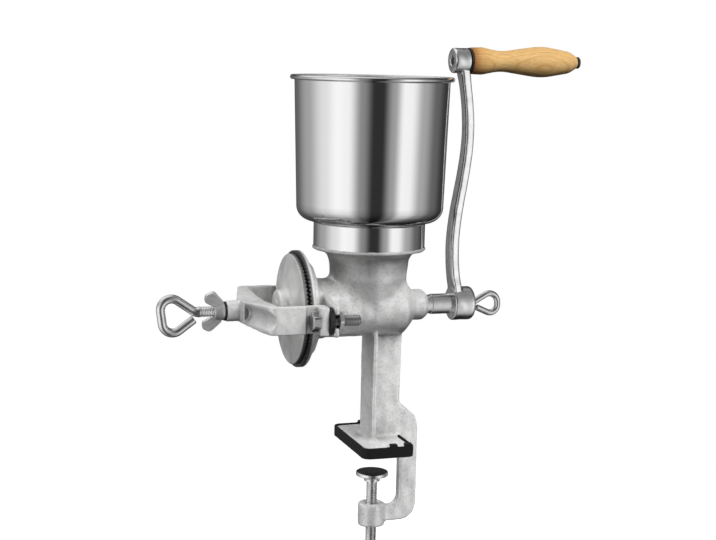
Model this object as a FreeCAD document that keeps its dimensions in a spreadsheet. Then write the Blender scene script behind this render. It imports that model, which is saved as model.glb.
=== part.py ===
"""Hand grain mill that clamps to a table edge, millimetres, +Z up.

The origin is on the face of the rubber foot that rests on the table, straight below the hopper's
axis. The shaft runs along X: the crank is at +X and the burrs and their adjuster are at -X.
Most sub-parts are drawn about the point where the hopper's axis meets the shaft's axis, and are
then lifted by shaft_height.
"""
import FreeCAD, Part
import math
import os
import Sketcher

Vector = FreeCAD.Vector
SHEET_NAME = "Sizes"
BEAD_OVERLAP = 0.3  # how far the rolled rim's section reaches into the wall
OUT = 1.0  # how far a cutting outline stands out of what it cuts, or a joined one reaches in
NEAR = 0.02  # an edge this close to a place counts as there
CONE_HALF_ANGLE = math.radians(30)  # chamfer of hexagon heads and nuts
ARM_SECTIONS = 9  # cross-sections that the crank's arm is lofted through
ARM_TAPER_END = 0.74  # share of the arm's height where its taper ends

# Far corners of a bent loop's path: out from the root, sideways, round. The last is its free end.
LARGE_LOOP = [(35.2, 23.0, 9.6), (28.2, -25.6, 9.4), (3.6, -7.4)]
SMALL_LOOP = [(25.4, 13.6, 8.4), (27.8, -14.6, 7.4), (6.6, -5.0)]
LOOP_OVERLAP = 4.0  # the bent rod starts this far inside the shank
LOOP_BEND = 1.5  # and bends this far outside it

# Every length that can be set by itself, with the words that explain it.
DRIVING_SIZES = {
    # whole mill
    "shaft_height": (131.5, "shaft axis above the table"),
    "running_fit": (0.05, "radial gap of a shaft in its hole"),
    "seat_gap": (0.3, "gap between cast or spun faces that rest on each other"),
    # hopper, heights above the shaft axis
    "hopper_seat": (56.0, "top of the throat ring that the hopper stands on"),
    "hopper_neck_radius": (50.7, "outside of the hopper's neck"),
    "hopper_neck_length": (22.4, "straight neck below the shoulder"),
    "hopper_shoulder_rise": (3.4, "how much the shoulder climbs outwards"),
    "hopper_neck_round": (1.2, "round between neck and shoulder"),
    "hopper_shoulder_round": (13.0, "round between shoulder and wall"),
    "hopper_shoulder_width": (15.7, "how much wider the wall is than the neck"),
    "hopper_flare": (3.7, "how much the wall opens towards the rim"),
    "hopper_length": (151.4, "neck's lower edge to the middle of the rolled rim"),
    "hopper_bead_radius": (2.1, "section of the rolled rim"),
    "hopper_wall": (0.8, "sheet steel"),
    # throat of the casting
    "throat_ring_step": (1.1, "how far the ring stands out past the hopper's neck"),
    "throat_ring_thickness": (2.8, "ring under the hopper"),
    "spigot_length": (9.0, "spigot that goes up into the hopper's neck"),
    "throat_waist_step": (15.4, "how much narrower the throat's waist is than the hopper's neck"),
    "throat_waist_height": (28.0, "waist above the shaft axis"),
    "throat_root_height": (6.0, "where the throat leaves the barrel's side"),
    "throat_root_swell": (0.4, "how much it swells there"),
    "throat_waist_round": (20.0, "round at the waist"),
    "throat_draft": (1.7, "how much the throat opens from its waist to the ring"),
    "throat_shoulder_drop": (0.8, "end of the hollow round below the ring"),
    "throat_shoulder_round": (12.5, "hollow round under the ring"),
    "throat_wall": (4.6, "wall of the throat"),
    "spigot_wall": (3.2, "wall of the spigot"),
    "funnel_floor": (2.0, "the funnel's lowest point above the shaft axis"),
    "funnel_rise": (2.0, "how much its floor climbs outwards"),
    "funnel_waist_round": (15.0, "round inside the waist"),
    "funnel_draft": (1.0, "how much the funnel opens from its waist"),
    "funnel_shoulder_drop": (11.0, "where the funnel starts to widen, below the ring"),
    "funnel_shoulder_round": (8.0, "round there"),
    "funnel_mouth": (5.0, "where the funnel is as wide as the spigot, above the seat"),
    # barrel
    "barrel_wall": (4.5, "wall of the barrel"),
    "barrel_bore": (22.5, "inside of the barrel, radius"),
    "barrel_end": (41.0, "barrel's crank end from the hopper axis"),
    "barrel_taper_length": (9.6, "cone at the barrel's crank end"),
    "barrel_end_wall": (9.0, "thickness of the closed end"),
    "bearing_wall": (4.8, "wall of the bearing boss"),
    "boss_length": (11.2, "bearing boss beyond the barrel"),
    "boss_taper_length": (4.2, "cone at the end of the boss"),
    "bearing_lip": (1.0, "wall at the small end of the boss's cone"),
    "barrel_shoulder_round": (8.0, "round between barrel and cone"),
    "boss_step": (1.5, "flat ring round the boss"),
    "boss_step_round": (1.2, "round of that ring"),
    "bore_corner": (3.0, "round at the bottom of the bore"),
    # flange that carries the fixed burr
    "burr_seat": (64.0, "flange face from the hopper axis, towards -X"),
    "flange_radius": (43.0, "flange behind the fixed burr"),
    "flange_thickness": (7.0, "flange behind the fixed burr"),
    "flange_edge": (1.5, "round of the flange's rim"),
    "flange_fillet": (4.0, "fillet between flange and barrel"),
    # forked lugs of the casting
    "bolt_step": (5.0, "yoke bolts outside the side plates"),
    "lug_face": (54.5, "lug face towards the yoke, from the hopper axis"),
    "lug_thickness": (5.3, "lug"),
    "lug_beyond_bolt": (7.0, "lug's end past its bolt"),
    "lug_half_height": (14.2, "half the lug's height"),
    "lug_root_half_height": (24.0, "half the wing's height at the barrel"),
    "slot_clearance": (0.6, "yoke bolt to the sides of the lug's slot"),
    "lug_flat": (10.0, "lug's parallel stretch inside its bolt"),
    "lug_sink": (4.0, "start of the wings inside the barrel's wall"),
    "lug_corner": (2.0, "round of the lug's outer corners"),
    # leg, foot and clamp of the casting
    "leg_face": (1.0, "leg's wide face, right of the hopper axis"),
    "leg_flange_thickness": (4.2, "wide flange of the leg"),
    "leg_width": (37.0, "wide flange of the leg"),
    "web_thickness": (10.0, "web of the leg and the clamp arm"),
    "web_reach": (32.0, "web's back edge from the hopper axis"),
    "web_draft": (1.2, "how much wider the web is at the barrel"),
    "leg_top": (16.0, "leg's upper end inside the barrel, below the shaft axis"),
    "web_top": (20.0, "web's upper end inside the barrel, below the shaft axis"),
    "flare_top": (40.5, "start of the flare above the table"),
    "flare_bottom": (22.0, "end of the flare above the table"),
    "flare_corner": (5.0, "half the height that the flare's corner takes"),
    "flare_setback": (3.0, "cut-back of the flare's corner"),
    "flare_top_round": (10.0, "hollow round at the flare's start"),
    "flare_upper_round": (6.0, "upper round of the flare's corner"),
    "flare_lower_round": (8.0, "lower round of the flare's corner"),
    "jaw_outer_round": (16.0, "round between clamp arm and jaw, outside"),
    "jaw_inner_round": (8.0, "round between clamp arm and jaw, inside"),
    "leg_fillet": (3.0, "fillet between leg, web and foot plate"),
    "leg_edge": (1.2, "round of the leg's upright edges"),
    "arm_edge": (1.5, "round of the clamp arm's edges"),
    "edge_gap": (3.0, "foot plate's end to the clamp arm's inner face"),
    "clamp_arm_depth": (17.4, "clamp arm, inner face to back"),
    "jaw_top": (58.0, "lower jaw below the table's top"),
    "jaw_depth": (15.0, "lower jaw"),
    "jaw_boss_wall": (7.5, "wall of the jaw's boss"),
    "jaw_boss_rise": (3.0, "boss above and below the jaw"),
    "foot_length": (44.3, "foot plate along the shaft"),
    "foot_width": (91.2, "foot plate across the shaft"),
    "foot_thickness": (6.0, "foot plate"),
    "foot_left": (-13.9, "foot plate's left edge from the hopper axis"),
    "foot_corner": (5.0, "round of the foot plate's corners"),
    # rubber shoe
    "shoe_floor": (3.0, "rubber under the foot plate"),
    "shoe_wall": (2.4, "rubber round the foot plate"),
    "shoe_gap": (0.1, "rubber to the foot plate's edge"),
    "shoe_height": (10.0, "shoe's lip above the table"),
    "shoe_tab_length": (7.0, "small tab on the lip"),
    "shoe_corner_gap": (3.0, "last tab from the shoe's end"),
    "shoe_tab_height": (2.4, "small tab on the lip"),
    "shoe_tab_inset": (3.0, "how far a tab reaches over the foot plate"),
    # burrs
    "burr_step": (2.8, "how much wider the fixed burr is than the rotating one"),
    "fixed_burr_thickness": (5.8, "fixed burr"),
    "fixed_burr_hole": (22.0, "hole that the grain comes through, radius"),
    "moving_burr_radius": (50.0, "rotating burr"),
    "moving_burr_rim": (4.0, "rotating burr at its rim"),
    "moving_burr_dome": (3.0, "how much its back swells towards the hub"),
    "burr_gap": (0.3, "gap between the tooth tips at the finest setting"),
    "tooth_count": (84, "fine teeth of each burr"),
    "tooth_depth": (2.0, "fine teeth at the rim"),
    "tooth_land": (0.12, "flat top of a tooth as a share of its pitch"),
    "tooth_ring_width": (14.0, "ring of fine teeth"),
    "breaker_count": (12, "coarse ribs inside the fine ring"),
    "breaker_depth": (2.4, "grooves between the coarse ribs"),
    "breaker_land": (0.45, "flat top of a rib as a share of its pitch"),
    "breaker_step": (2.8, "end of the coarse grooves inside the fine ring"),
    "breaker_inset": (1.2, "start of the coarse grooves outside the fixed burr's hole"),
    "burr_edge": (1.0, "chamfer on the fixed burr's back edge"),
    "burr_back_round": (1.2, "round of the rotating burr's back edge"),
    "dome_flat": (11.6, "flat round the hub, where the dome ends"),
    "dome_round": (30.0, "round between dome and flat"),
    "burr_hub_radius": (18.8, "hub on the back of the rotating burr"),
    "burr_hub_length": (9.6, "hub from the dome"),
    "burr_hub_fillet": (4.5, "fillet round the hub"),
    "burr_hub_draft": (1.2, "how much the hub narrows"),
    "burr_hub_edge": (2.0, "round of the hub's edge"),
    "burr_nose_radius": (9.0, "nose that holds the ball"),
    "burr_nose_length": (1.0, "nose beyond the hub"),
    "burr_nose_draft": (0.5, "how much the nose narrows"),
    "burr_neck_radius": (13.5, "boss inside the fixed burr's hole"),
    "burr_neck_length": (3.8, "boss inside the fixed burr's hole"),
    "burr_screw_count": (3, "screws that hold the fixed burr"),
    "burr_screw_circle": (30.0, "radius of the fixed burr's screw circle"),
    "burr_screw_radius": (2.5, "burr screw's thread"),
    "burr_screw_head": (4.8, "burr screw's head, radius"),
    "burr_screw_sink": (2.8, "depth of the straight part of its countersink"),
    "burr_screw_cone": (2.4, "depth of the countersink's cone"),
    "burr_screw_drop": (0.2, "cone's gap, which leaves the head below the teeth"),
    "burr_screw_length": (6.5, "burr screw from its head's face"),
    # auger
    "auger_clearance": (1.3, "worm's edge to the barrel's bore"),
    "auger_core_feed": (9.8, "core at the crank end, radius"),
    "auger_core_burr": (13.0, "core at the burr end, radius"),
    "auger_pitch": (27.0, "worm's lead"),
    "auger_flight_root": (6.0, "flight at the core"),
    "auger_flight_tip": (3.0, "flight at its edge"),
    "auger_flight_start": (1.5, "flight's start from the auger's shoulder"),
    "auger_flight_end": (7.0, "flight's end from the auger's feed end"),
    "auger_end_gap": (1.2, "auger's feed end to the barrel's end wall"),
    "auger_core_end": (8.0, "where the core's taper ends, from the feed end"),
    "auger_collar_step": (2.6, "collar beside the bearing, wider than the shaft"),
    "auger_collar_width": (0.8, "collar beside the bearing"),
    "auger_collar_cone": (2.0, "cone between core and collar"),
    "shaft_radius": (9.4, "journal and shaft"),
    "shaft_neck_start": (0.5, "start of the turned relief beside the boss"),
    "shaft_neck_length": (4.5, "turned relief beside the boss"),
    "shaft_neck_depth": (0.7, "turned relief beside the boss"),
    "tapped_hole_depth": (13.0, "hole for the crank screw"),
    "tang_width": (15.0, "square tang in the rotating burr"),
    "tang_length": (13.5, "square tang in the rotating burr"),
    "square_width": (12.6, "square end in the crank"),
    "square_length": (15.5, "square end in the crank"),
    # crank
    "crank_throw": (224.5, "shaft axis to handle axis"),
    "crank_hub_step": (5.5, "hub's inner face further out than the eye's"),
    "crank_hub_length": (20.5, "hub"),
    "crank_hub_radius": (15.6, "hub"),
    "crank_hub_round": (3.4, "round of the hub's outer edge"),
    "crank_hub_edge": (1.0, "round of the hub's inner edge"),
    "rim_clearance": (2.0, "hopper's rim to the crank's eye"),
    "crank_eye_length": (15.8, "eye"),
    "crank_eye_radius": (11.4, "eye"),
    "crank_eye_round": (1.6, "round of the eye's edges"),
    "bolt_mouth_step": (0.7, "wider mouth of the bolt's hole in the eye"),
    "bolt_mouth_depth": (4.0, "wider mouth of the bolt's hole in the eye"),
    "arm_offset": (12.0, "middle of the arm's swing from the eye's inner face"),
    "arm_sway": (6.0, "how far the arm swings each way from its middle"),
    "arm_low_bend": (52.0, "height of the bend towards the body"),
    "arm_high_bend": (160.0, "height of the bend away from the body"),
    "arm_thickness": (7.2, "arm, seen from the front"),
    "arm_root_width": (19.0, "arm at the hub, seen from the end"),
    "arm_top_width": (11.5, "arm at the eye, seen from the end"),
    "arm_corner": (2.2, "round of the arm's edges"),
    "arm_foot": (9.0, "start of the arm inside the hub, above the shaft axis"),
    "arm_head": (7.0, "end of the arm inside the eye, below the handle axis"),
    # handle
    "grip_washer_thickness": (1.2, "washer between eye and grip"),
    "grip_length": (106.8, "wooden grip"),
    "grip_collar_radius": (12.1, "grip at its inner end"),
    "grip_collar_edge": (1.6, "round of its inner end"),
    "grip_collar_swell": (0.4, "how much the collar swells"),
    "grip_collar_length": (11.75, "collar"),
    "grip_collar_round": (14.0, "round of the collar"),
    "grip_waist_place": (29.9, "waist from the grip's inner end"),
    "grip_waist_radius": (8.9, "grip's waist, where its sides would meet"),
    "grip_waist_round": (45.0, "round of the waist"),
    "grip_belly_place": (71.55, "belly from the grip's inner end"),
    "grip_belly_radius": (14.8, "grip's belly, where its sides would meet"),
    "grip_belly_round": (62.0, "round of the belly"),
    "grip_tip_place": (99.3, "where the belly runs into the end, from the grip's inner end"),
    "grip_tip_radius": (10.06, "grip there, where its sides would meet"),
    "grip_tip_round": (16.0, "round there"),
    "grip_end_wall": (1.7, "wood round the bolt at the grip's outer end"),
    "grip_washer_radius": (11.8, "washer between eye and grip"),
    "handle_bolt_radius": (3.9, "bolt through the grip"),
    "handle_bolt_head": (9.6, "its hexagon across flats"),
    "handle_bolt_head_height": (3.2, "its hexagon"),
    "handle_bolt_setback": (3.0, "bolt's end inside the eye's face"),
    "screw_point": (0.8, "chamfer on a bolt's or screw's end"),
    "hexagon_step": (0.1, "chamfer's circle inside a hexagon's flats"),
    # crank screw
    "crank_screw_rod": (2.9, "radius of the rod that it is bent from"),
    "crank_screw_gap": (0.2, "its clearance in the hub"),
    "crank_screw_reach": (11.0, "thread inside the shaft"),
    "small_loop_root_round": (4.0, "small loop's bend beside the shank"),
    "crank_screw_neck": (0.5, "hub's face to the loop's root"),
    # adjuster
    "yoke_washer_thickness": (3.5, "washer between ear and lug"),
    "yoke_ear_thickness": (8.0, "ear"),
    "ear_beyond_bolt": (6.0, "ear's end past its bolt"),
    "yoke_plate_thickness": (5.0, "yoke's side plates"),
    "yoke_burr_clearance": (6.0, "rotating burr's rim to the yoke's side plates"),
    "recess_room": (3.6, "room in front of the bolt's head"),
    "yoke_back": (107.5, "yoke's corner from the hopper axis"),
    "yoke_back_inner": (100.0, "inside of the yoke's back from the hopper axis"),
    "yoke_boss_root": (121.0, "where the boss leaves the yoke's back"),
    "yoke_boss_end": (133.2, "end of the boss from the hopper axis"),
    "yoke_boss_wall": (4.7, "wall of the yoke's boss"),
    "yoke_half_height": (12.4, "half the yoke's height"),
    "yoke_neck_drop": (2.4, "how much lower the back is at the boss"),
    "yoke_neck_width": (46.0, "where the back has its full height, from the shaft axis"),
    "yoke_recess_wall": (3.2, "side plate where it steps in"),
    "yoke_corner": (7.0, "round of the yoke's outer corners"),
    "yoke_inner_corner": (6.0, "round of its inner corners"),
    "yoke_ear_corner": (1.5, "round of the ear's corners"),
    "recess_slope": (2.0, "length of the step in the side plate, outside"),
    "recess_round": (2.0, "round of that step"),
    "recess_inner_slope": (4.0, "length of the step in the side plate, inside"),
    "recess_inner_round": (3.0, "rounds of that step"),
    "yoke_panel_depth": (7.5, "scooped panel in each half of the back"),
    "yoke_panel_start": (4.5, "scooped panel's start from the boss"),
    "yoke_panel_run_out": (3.0, "how far it runs out past the side plate"),
    "yoke_panel_round": (7.0, "round at the bottom of the scoop"),
    "yoke_panel_border": (3.4, "flat border above and below the scooped panel"),
    "bolt_radius": (5.0, "yoke bolt"),
    "bolt_head_flats": (16.0, "its hexagon across flats"),
    "bolt_head_height": (7.0, "its hexagon"),
    "bolt_tail_end": (29.0, "bolt's end from the hopper axis"),
    "nut_height": (4.0, "yoke nut"),
    "yoke_washer_radius": (12.0, "washer between ear and lug"),
    "ball_oversize": (0.06, "how much larger the thrust ball is than the screw, in radius"),
    "ball_stand_out": (2.14, "ball's centre outside the burr's nose"),
    "ball_reach": (2.38, "ball's centre outside the screw's tip"),
    "adjuster_rod": (4.7, "adjusting screw, radius"),
    "adjuster_root": (159.5, "where the rod starts to bend, from the hopper axis"),
    "loop_rod": (3.95, "rod of the large loops, radius"),
    "loop_root_round": (6.0, "large loop's bend beside the shank"),
    "lock_washer_width": (3.9, "width of the washer under the wing nut"),
    "lock_washer_thickness": (1.6, "washer under the wing nut"),
    "wing_nut_wall": (3.3, "wall of the wing nut's base"),
    "wing_nut_tip_wall": (1.7, "wall of the wing nut's small end"),
    "wing_nut_length": (9.2, "wing nut's hub"),
    "wing_span": (21.0, "wing tips from the shaft axis"),
    "wing_sweep": (18.4, "wing tips behind the nut's face"),
    "wing_thickness": (4.0, "wings"),
    "wing_nut_face": (2.0, "plain part of the nut at the washer"),
    "wing_nut_edge": (1.0, "round of the nut's small end"),
    "wing_root_gap": (1.0, "start of the wings from the nut's face"),
    "wing_shoulder": (2.2, "height of the wing's shoulder above the hub"),
    "wing_front": (7.5, "length of the wing's tip along the screw"),
    "wing_tip": (4.0, "height of the wing's sloping tip"),
    "wing_depth": (10.5, "height of the wing at its back"),
    "wing_round": (4.0, "rounds of the wing's tip"),
    "wing_root_round": (3.0, "rounds at the wing's shoulder and heel"),
    "wing_sink": (3.0, "start of the wing inside the hub"),
    "wing_turn": (22.0, "degrees that the wing nut is turned from upright"),
    # clamp screw
    "clamp_rod": (5.0, "clamp screw, radius"),
    "clamp_gap": (25.0, "table top to clamp pad"),
    "clamp_screw_length": (78.0, "straight part of the clamp screw"),
    "clamp_pad_radius": (15.0, "pressure pad"),
    "clamp_pad_height": (9.0, "pressure pad"),
    "clamp_pad_rim": (3.5, "pad's flat rim"),
    "clamp_pad_edge": (1.0, "round of its pressing edge"),
    "clamp_pad_neck": (2.4, "pad's neck outside the clamp screw"),
    "clamp_pad_neck_length": (1.5, "straight part of that neck"),
    "clamp_pad_floor": (3.0, "pad's face to the screw's pin"),
    "clamp_pin_step": (1.8, "how much thinner the pin is than the clamp screw"),
    "clamp_pin_length": (6.0, "pin that carries the pad"),
}


class Size:
    """A length together with the sheet formula that gives it."""

    def __init__(self, value, formula):
        self.value = float(value)
        self.formula = formula

    @staticmethod
    def of(thing):
        if isinstance(thing, Size):
            return thing
        return Size(thing, "(%r)" % float(thing))

    def _join(self, other, sign, value):
        return Size(value, "(%s %s %s)" % (self.formula, sign, other.formula))

    def __add__(self, other):
        other = Size.of(other)
        return self._join(other, "+", self.value + other.value)

    def __radd__(self, other):
        return Size.of(other) + self

    def __sub__(self, other):
        other = Size.of(other)
        return self._join(other, "-", self.value - other.value)

    def __rsub__(self, other):
        return Size.of(other) - self

    def __mul__(self, other):
        other = Size.of(other)
        return self._join(other, "*", self.value * other.value)

    def __rmul__(self, other):
        return Size.of(other) * self

    def __truediv__(self, other):
        other = Size.of(other)
        return self._join(other, "/", self.value / other.value)

    def __neg__(self):
        return Size(-self.value, "(0 - %s)" % self.formula)


class Sizes:
    """The driving dimensions, written to the sheet once and read back as Size values."""

    def __init__(self, document):
        self.sheet = document.addObject("Spreadsheet::Sheet", SHEET_NAME)
        for row, (alias, (value, words)) in enumerate(DRIVING_SIZES.items(), start=1):
            self.sheet.set("A%d" % row, words)
            self.sheet.set("B%d" % row, str(value))
            self.sheet.setAlias("B%d" % row, alias)

    def __getattr__(self, alias):
        return Size(DRIVING_SIZES[alias][0], "%s.%s" % (SHEET_NAME, alias))


doc = FreeCAD.newDocument("grain_mill")
S = Sizes(doc)
doc.recompute()

ORIGIN = (-1, 1)
ALONG, ACROSS, FRONT = "XZ_Plane", "YZ_Plane", "XY_Plane"
subparts = []


def bind(thing, path, size):
    """Drives one property or constraint of an object by a sheet formula."""
    thing.setExpression(path, Size.of(size).formula)


def new_body(label, x=0.0, y=0.0, z=None):
    """A sub-part whose own frame stands at x, y, z of the mill; z is the shaft axis by default."""
    body = doc.addObject("PartDesign::Body", label)
    body.Label = label
    for axis, place in (("x", x), ("y", y), ("z", S.shaft_height if z is None else z)):
        bind(body, "Placement.Base." + axis, place)
    subparts.append(body)
    return body


def tilt(body, axis, degrees):
    """Turns a whole sub-part about its own origin."""
    body.Placement.Rotation = FreeCAD.Rotation(axis, Size.of(degrees).value)
    bind(body, "Placement.Rotation.Angle", degrees)


def new_sketch(body, name, plane, offset=0.0):
    """A sketch on one of the body's own planes, moved by offset along the plane's normal."""
    sketch = body.newObject("Sketcher::SketchObject", name)
    support = [item for item in body.Origin.OriginFeatures if item.Role == plane][0]
    sketch.AttachmentSupport = [(support, "")]
    sketch.MapMode = "FlatFace"
    bind(sketch, "AttachmentOffset.Base.z", offset)
    return sketch


def set_point(sketch, geometry, position, x, y):
    """Holds one point of a sketch at x, y."""
    for kind, size in (("DistanceX", Size.of(x)), ("DistanceY", Size.of(y))):
        index = sketch.addConstraint(
            Sketcher.Constraint(kind, *ORIGIN, geometry, position, size.value))
        bind(sketch, "Constraints[%d]" % index, size)


def tangent_points(before, corner, after, radius):
    """Where a round of this radius leaves the two sides of a corner, and its middle point."""
    to_before = (before - corner).normalize()
    to_after = (after - corner).normalize()
    half = to_before.getAngle(to_after) / 2.0
    reach = radius / math.tan(half)
    bisector = (to_before + to_after).normalize()
    middle = corner + bisector * (radius / math.sin(half) - radius)
    return corner + to_before * reach, middle, corner + to_after * reach


def draw(sketch, corners, closed=True):
    """Straight sides between the corners (x, y) or (x, y, radius), every one held by its size."""
    count = len(corners)
    spots = [Vector(Size.of(c[0]).value, Size.of(c[1]).value, 0) for c in corners]
    rounded = [len(c) == 3 for c in corners]
    starts, ends, arcs = list(spots), list(spots), {}
    for i in range(count):
        if rounded[i]:
            radius = Size.of(corners[i][2])
            first, middle, last = tangent_points(
                spots[i - 1], spots[i], spots[(i + 1) % count], radius.value)
            arc = sketch.addGeometry(Part.Arc(first, middle, last), False)
            forward = sketch.getPoint(arc, 1).distanceToPoint(first) < 1e-6
            arcs[i] = (arc, 1 if forward else 2, 2 if forward else 1)
            ends[i], starts[i] = first, last
            index = sketch.addConstraint(Sketcher.Constraint("Radius", arc, radius.value))
            bind(sketch, "Constraints[%d]" % index, radius)
    lines = {}
    for i in range(count if closed else count - 1):
        side = Part.LineSegment(starts[i], ends[(i + 1) % count])
        lines[i] = sketch.addGeometry(side, False)
    for i in range(count):
        before = lines.get((i - 1) % count) if (closed or i > 0) else None
        after = lines.get(i)
        if rounded[i]:
            arc, arc_start, arc_end = arcs[i]
            sketch.addConstraint(Sketcher.Constraint("Tangent", before, 2, arc, arc_start))
            sketch.addConstraint(Sketcher.Constraint("Tangent", arc, arc_end, after, 1))
            mark = sketch.addGeometry(Part.Point(spots[i]), True)
            set_point(sketch, mark, 1, *corners[i][:2])
            sketch.addConstraint(Sketcher.Constraint("PointOnObject", mark, 1, before))
            sketch.addConstraint(Sketcher.Constraint("PointOnObject", mark, 1, after))
        else:
            if before is not None and after is not None:
                sketch.addConstraint(Sketcher.Constraint("Coincident", before, 2, after, 1))
            owner, position = (after, 1) if after is not None else (before, 2)
            set_point(sketch, owner, position, *corners[i][:2])


def draw_circle(sketch, x, y, radius):
    """A circle held by its centre and radius."""
    x, y, radius = Size.of(x), Size.of(y), Size.of(radius)
    round_line = Part.Circle(Vector(x.value, y.value, 0), Vector(0, 0, 1), radius.value)
    circle = sketch.addGeometry(round_line, False)
    index = sketch.addConstraint(Sketcher.Constraint("Radius", circle, radius.value))
    bind(sketch, "Constraints[%d]" % index, radius)
    set_point(sketch, circle, 3, x, y)


def outline(body, name, plane, corners, offset=0.0):
    sketch = new_sketch(body, name, plane, offset)
    draw(sketch, corners)
    return sketch


def circle(body, name, plane, x, y, radius, offset=0.0):
    sketch = new_sketch(body, name, plane, offset)
    draw_circle(sketch, x, y, radius)
    return sketch


def extrude(body, kind, sketch, length, symmetric=False, backwards=False):
    """A pad or a pocket of the given length."""
    feature = body.newObject("PartDesign::" + kind, sketch.Name + "_" + kind.lower())
    feature.Profile = sketch
    feature.SideType = "Symmetric" if symmetric else "One side"
    feature.Reversed = backwards
    bind(feature, "Length", length)
    return feature


def pad(body, sketch, length, symmetric=False, backwards=False):
    return extrude(body, "Pad", sketch, length, symmetric, backwards)


def pocket(body, sketch, length, symmetric=False, backwards=False):
    return extrude(body, "Pocket", sketch, length, symmetric, backwards)


def turn(body, sketch, axis, kind="Revolution"):
    """A full turn of a sketch about its own H_Axis or V_Axis."""
    feature = body.newObject("PartDesign::" + kind, sketch.Name + "_turned")
    feature.Profile = sketch
    feature.ReferenceAxis = (sketch, [axis])
    feature.Angle = 360.0
    return feature


def cut_turn(body, sketch, axis):
    return turn(body, sketch, axis, "Groove")


def soften(body, feature, radius, wanted, kind="Fillet"):
    """Rounds or chamfers the edges of a feature that the test picks."""
    doc.recompute()
    names = ["Edge%d" % (i + 1) for i, edge in enumerate(feature.Shape.Edges) if wanted(edge)]
    finish = body.newObject("PartDesign::" + kind, feature.Name + "_" + kind.lower())
    finish.Base = (feature, names)
    bind(finish, "Radius" if kind == "Fillet" else "Size", radius)
    return finish


def mirrored(body, features, plane):
    """The same features on the other side of one of the body's planes."""
    mirror = body.newObject("PartDesign::Mirrored", features[-1].Name + "_mirrored")
    support = [item for item in body.Origin.OriginFeatures if item.Role == plane][0]
    mirror.Originals = features
    mirror.MirrorPlane = (support, [""])
    body.Tip = mirror
    return mirror


def patterned(body, features, axis, count):
    """The same features repeated evenly round one of the body's axes."""
    pattern = body.newObject("PartDesign::PolarPattern", features[-1].Name + "_repeated")
    support = [item for item in body.Origin.OriginFeatures if item.Role == axis][0]
    pattern.Originals = features
    pattern.Axis = (support, [""])
    pattern.Angle = 360.0
    pattern.Occurrences = count
    body.Tip = pattern
    return pattern


def hexagon(flats, first=90):
    """Corners of a hexagon with this size across flats; the first corner stands at this angle."""
    reach = flats / math.sqrt(3.0)
    turns = [math.radians(60 * k + first) for k in range(6)]
    return [(reach * math.cos(a), reach * math.sin(a)) for a in turns]


def square(width):
    """Corners of a square with this width, each corner cut off so that it stays inside a shaft."""
    half, cut = width / 2.0, width * 0.36
    ring = [(half, cut), (cut, half)]
    corners = []
    for sign_y, sign_z in ((1, 1), (-1, 1), (-1, -1), (1, -1)):
        pair = ring if sign_y * sign_z > 0 else ring[::-1]
        corners += [(sign_y * y, sign_z * z) for y, z in pair]
    return corners


def lies_at(edge, **places):
    """True for an edge that keeps to these places, given as x, y or z; y counts on both sides."""
    for axis, place in places.items():
        low, high = [getattr(edge.BoundBox, axis.upper() + end) for end in ("Min", "Max")]
        if axis == "y" and high < 0:
            low, high = -high, -low
        if max(abs(low - Size.of(place).value), abs(high - Size.of(place).value)) > NEAR:
            return False
    return True


def bevel_hexagon(body, name, flats, face, inward, y=0.0):
    """Takes the corners off a hexagon's outer face with a cone; inward is +1 or -1 along X."""
    start = flats / 2 - S.hexagon_step
    reach = flats / math.sqrt(3.0) + OUT
    depth = (reach - start) * math.tan(CONE_HALF_ANGLE)
    # the XZ plane's normal points to -Y
    ring = outline(body, name, ALONG, [
        (face - inward * OUT, start), (face, start), (face + inward * depth, reach),
        (face - inward * OUT, reach)], offset=-y)
    return cut_turn(body, ring, "H_Axis")


# Values that several sub-parts share
hopper_base_radius = S.hopper_neck_radius + S.hopper_shoulder_width
hopper_top_radius = hopper_base_radius + S.hopper_flare
throat_ring_radius = S.hopper_neck_radius + S.throat_ring_step
throat_waist_radius = S.hopper_neck_radius - S.throat_waist_step
barrel_radius = S.barrel_bore + S.barrel_wall
auger_radius = S.barrel_bore - S.auger_clearance
boss_radius = S.shaft_radius + S.bearing_wall
boss_tip_radius = S.shaft_radius + S.bearing_lip
fixed_burr_radius = S.moving_burr_radius + S.burr_step
yoke_plate_inner = S.moving_burr_radius + S.yoke_burr_clearance
yoke_plate_outer = yoke_plate_inner + S.yoke_plate_thickness
bolt_offset = yoke_plate_outer + S.bolt_step
lug_reach = bolt_offset + S.lug_beyond_bolt
yoke_ear_reach = bolt_offset + S.ear_beyond_bolt
lug_slot = 2 * (S.bolt_radius + S.slot_clearance)
yoke_ear_face = S.lug_face + S.yoke_washer_thickness
yoke_recess_start = yoke_ear_face + S.yoke_ear_thickness + S.bolt_head_height + S.recess_room
yoke_boss_radius = S.adjuster_rod + S.yoke_boss_wall
lock_washer_radius = S.adjuster_rod + S.lock_washer_width
wing_nut_radius = S.adjuster_rod + S.wing_nut_wall
wing_nut_tip_radius = S.adjuster_rod + S.wing_nut_tip_wall
ball_radius = S.adjuster_rod + S.ball_oversize
crank_eye_face = hopper_top_radius + 2 * S.hopper_bead_radius - BEAD_OVERLAP + S.rim_clearance
crank_hub_face = crank_eye_face + S.crank_hub_step
arm_middle = crank_eye_face + S.arm_offset
grip_start = crank_eye_face + S.crank_eye_length + S.grip_washer_thickness + S.seat_gap
grip_end_radius = S.handle_bolt_radius + S.grip_end_wall
jaw_boss_radius = S.clamp_rod + S.jaw_boss_wall
clamp_pin_radius = S.clamp_rod - S.clamp_pin_step
yoke_panel_half_height = S.yoke_half_height - S.yoke_panel_border
table = -S.shaft_height
seat = -S.burr_seat
fixed_burr_face = seat - S.fixed_burr_thickness
moving_burr_face = fixed_burr_face - S.burr_gap
moving_burr_back = moving_burr_face - S.moving_burr_rim
burr_hub_end = moving_burr_back - S.moving_burr_dome - S.burr_hub_length
burr_nose_end = burr_hub_end - S.burr_nose_length
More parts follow.
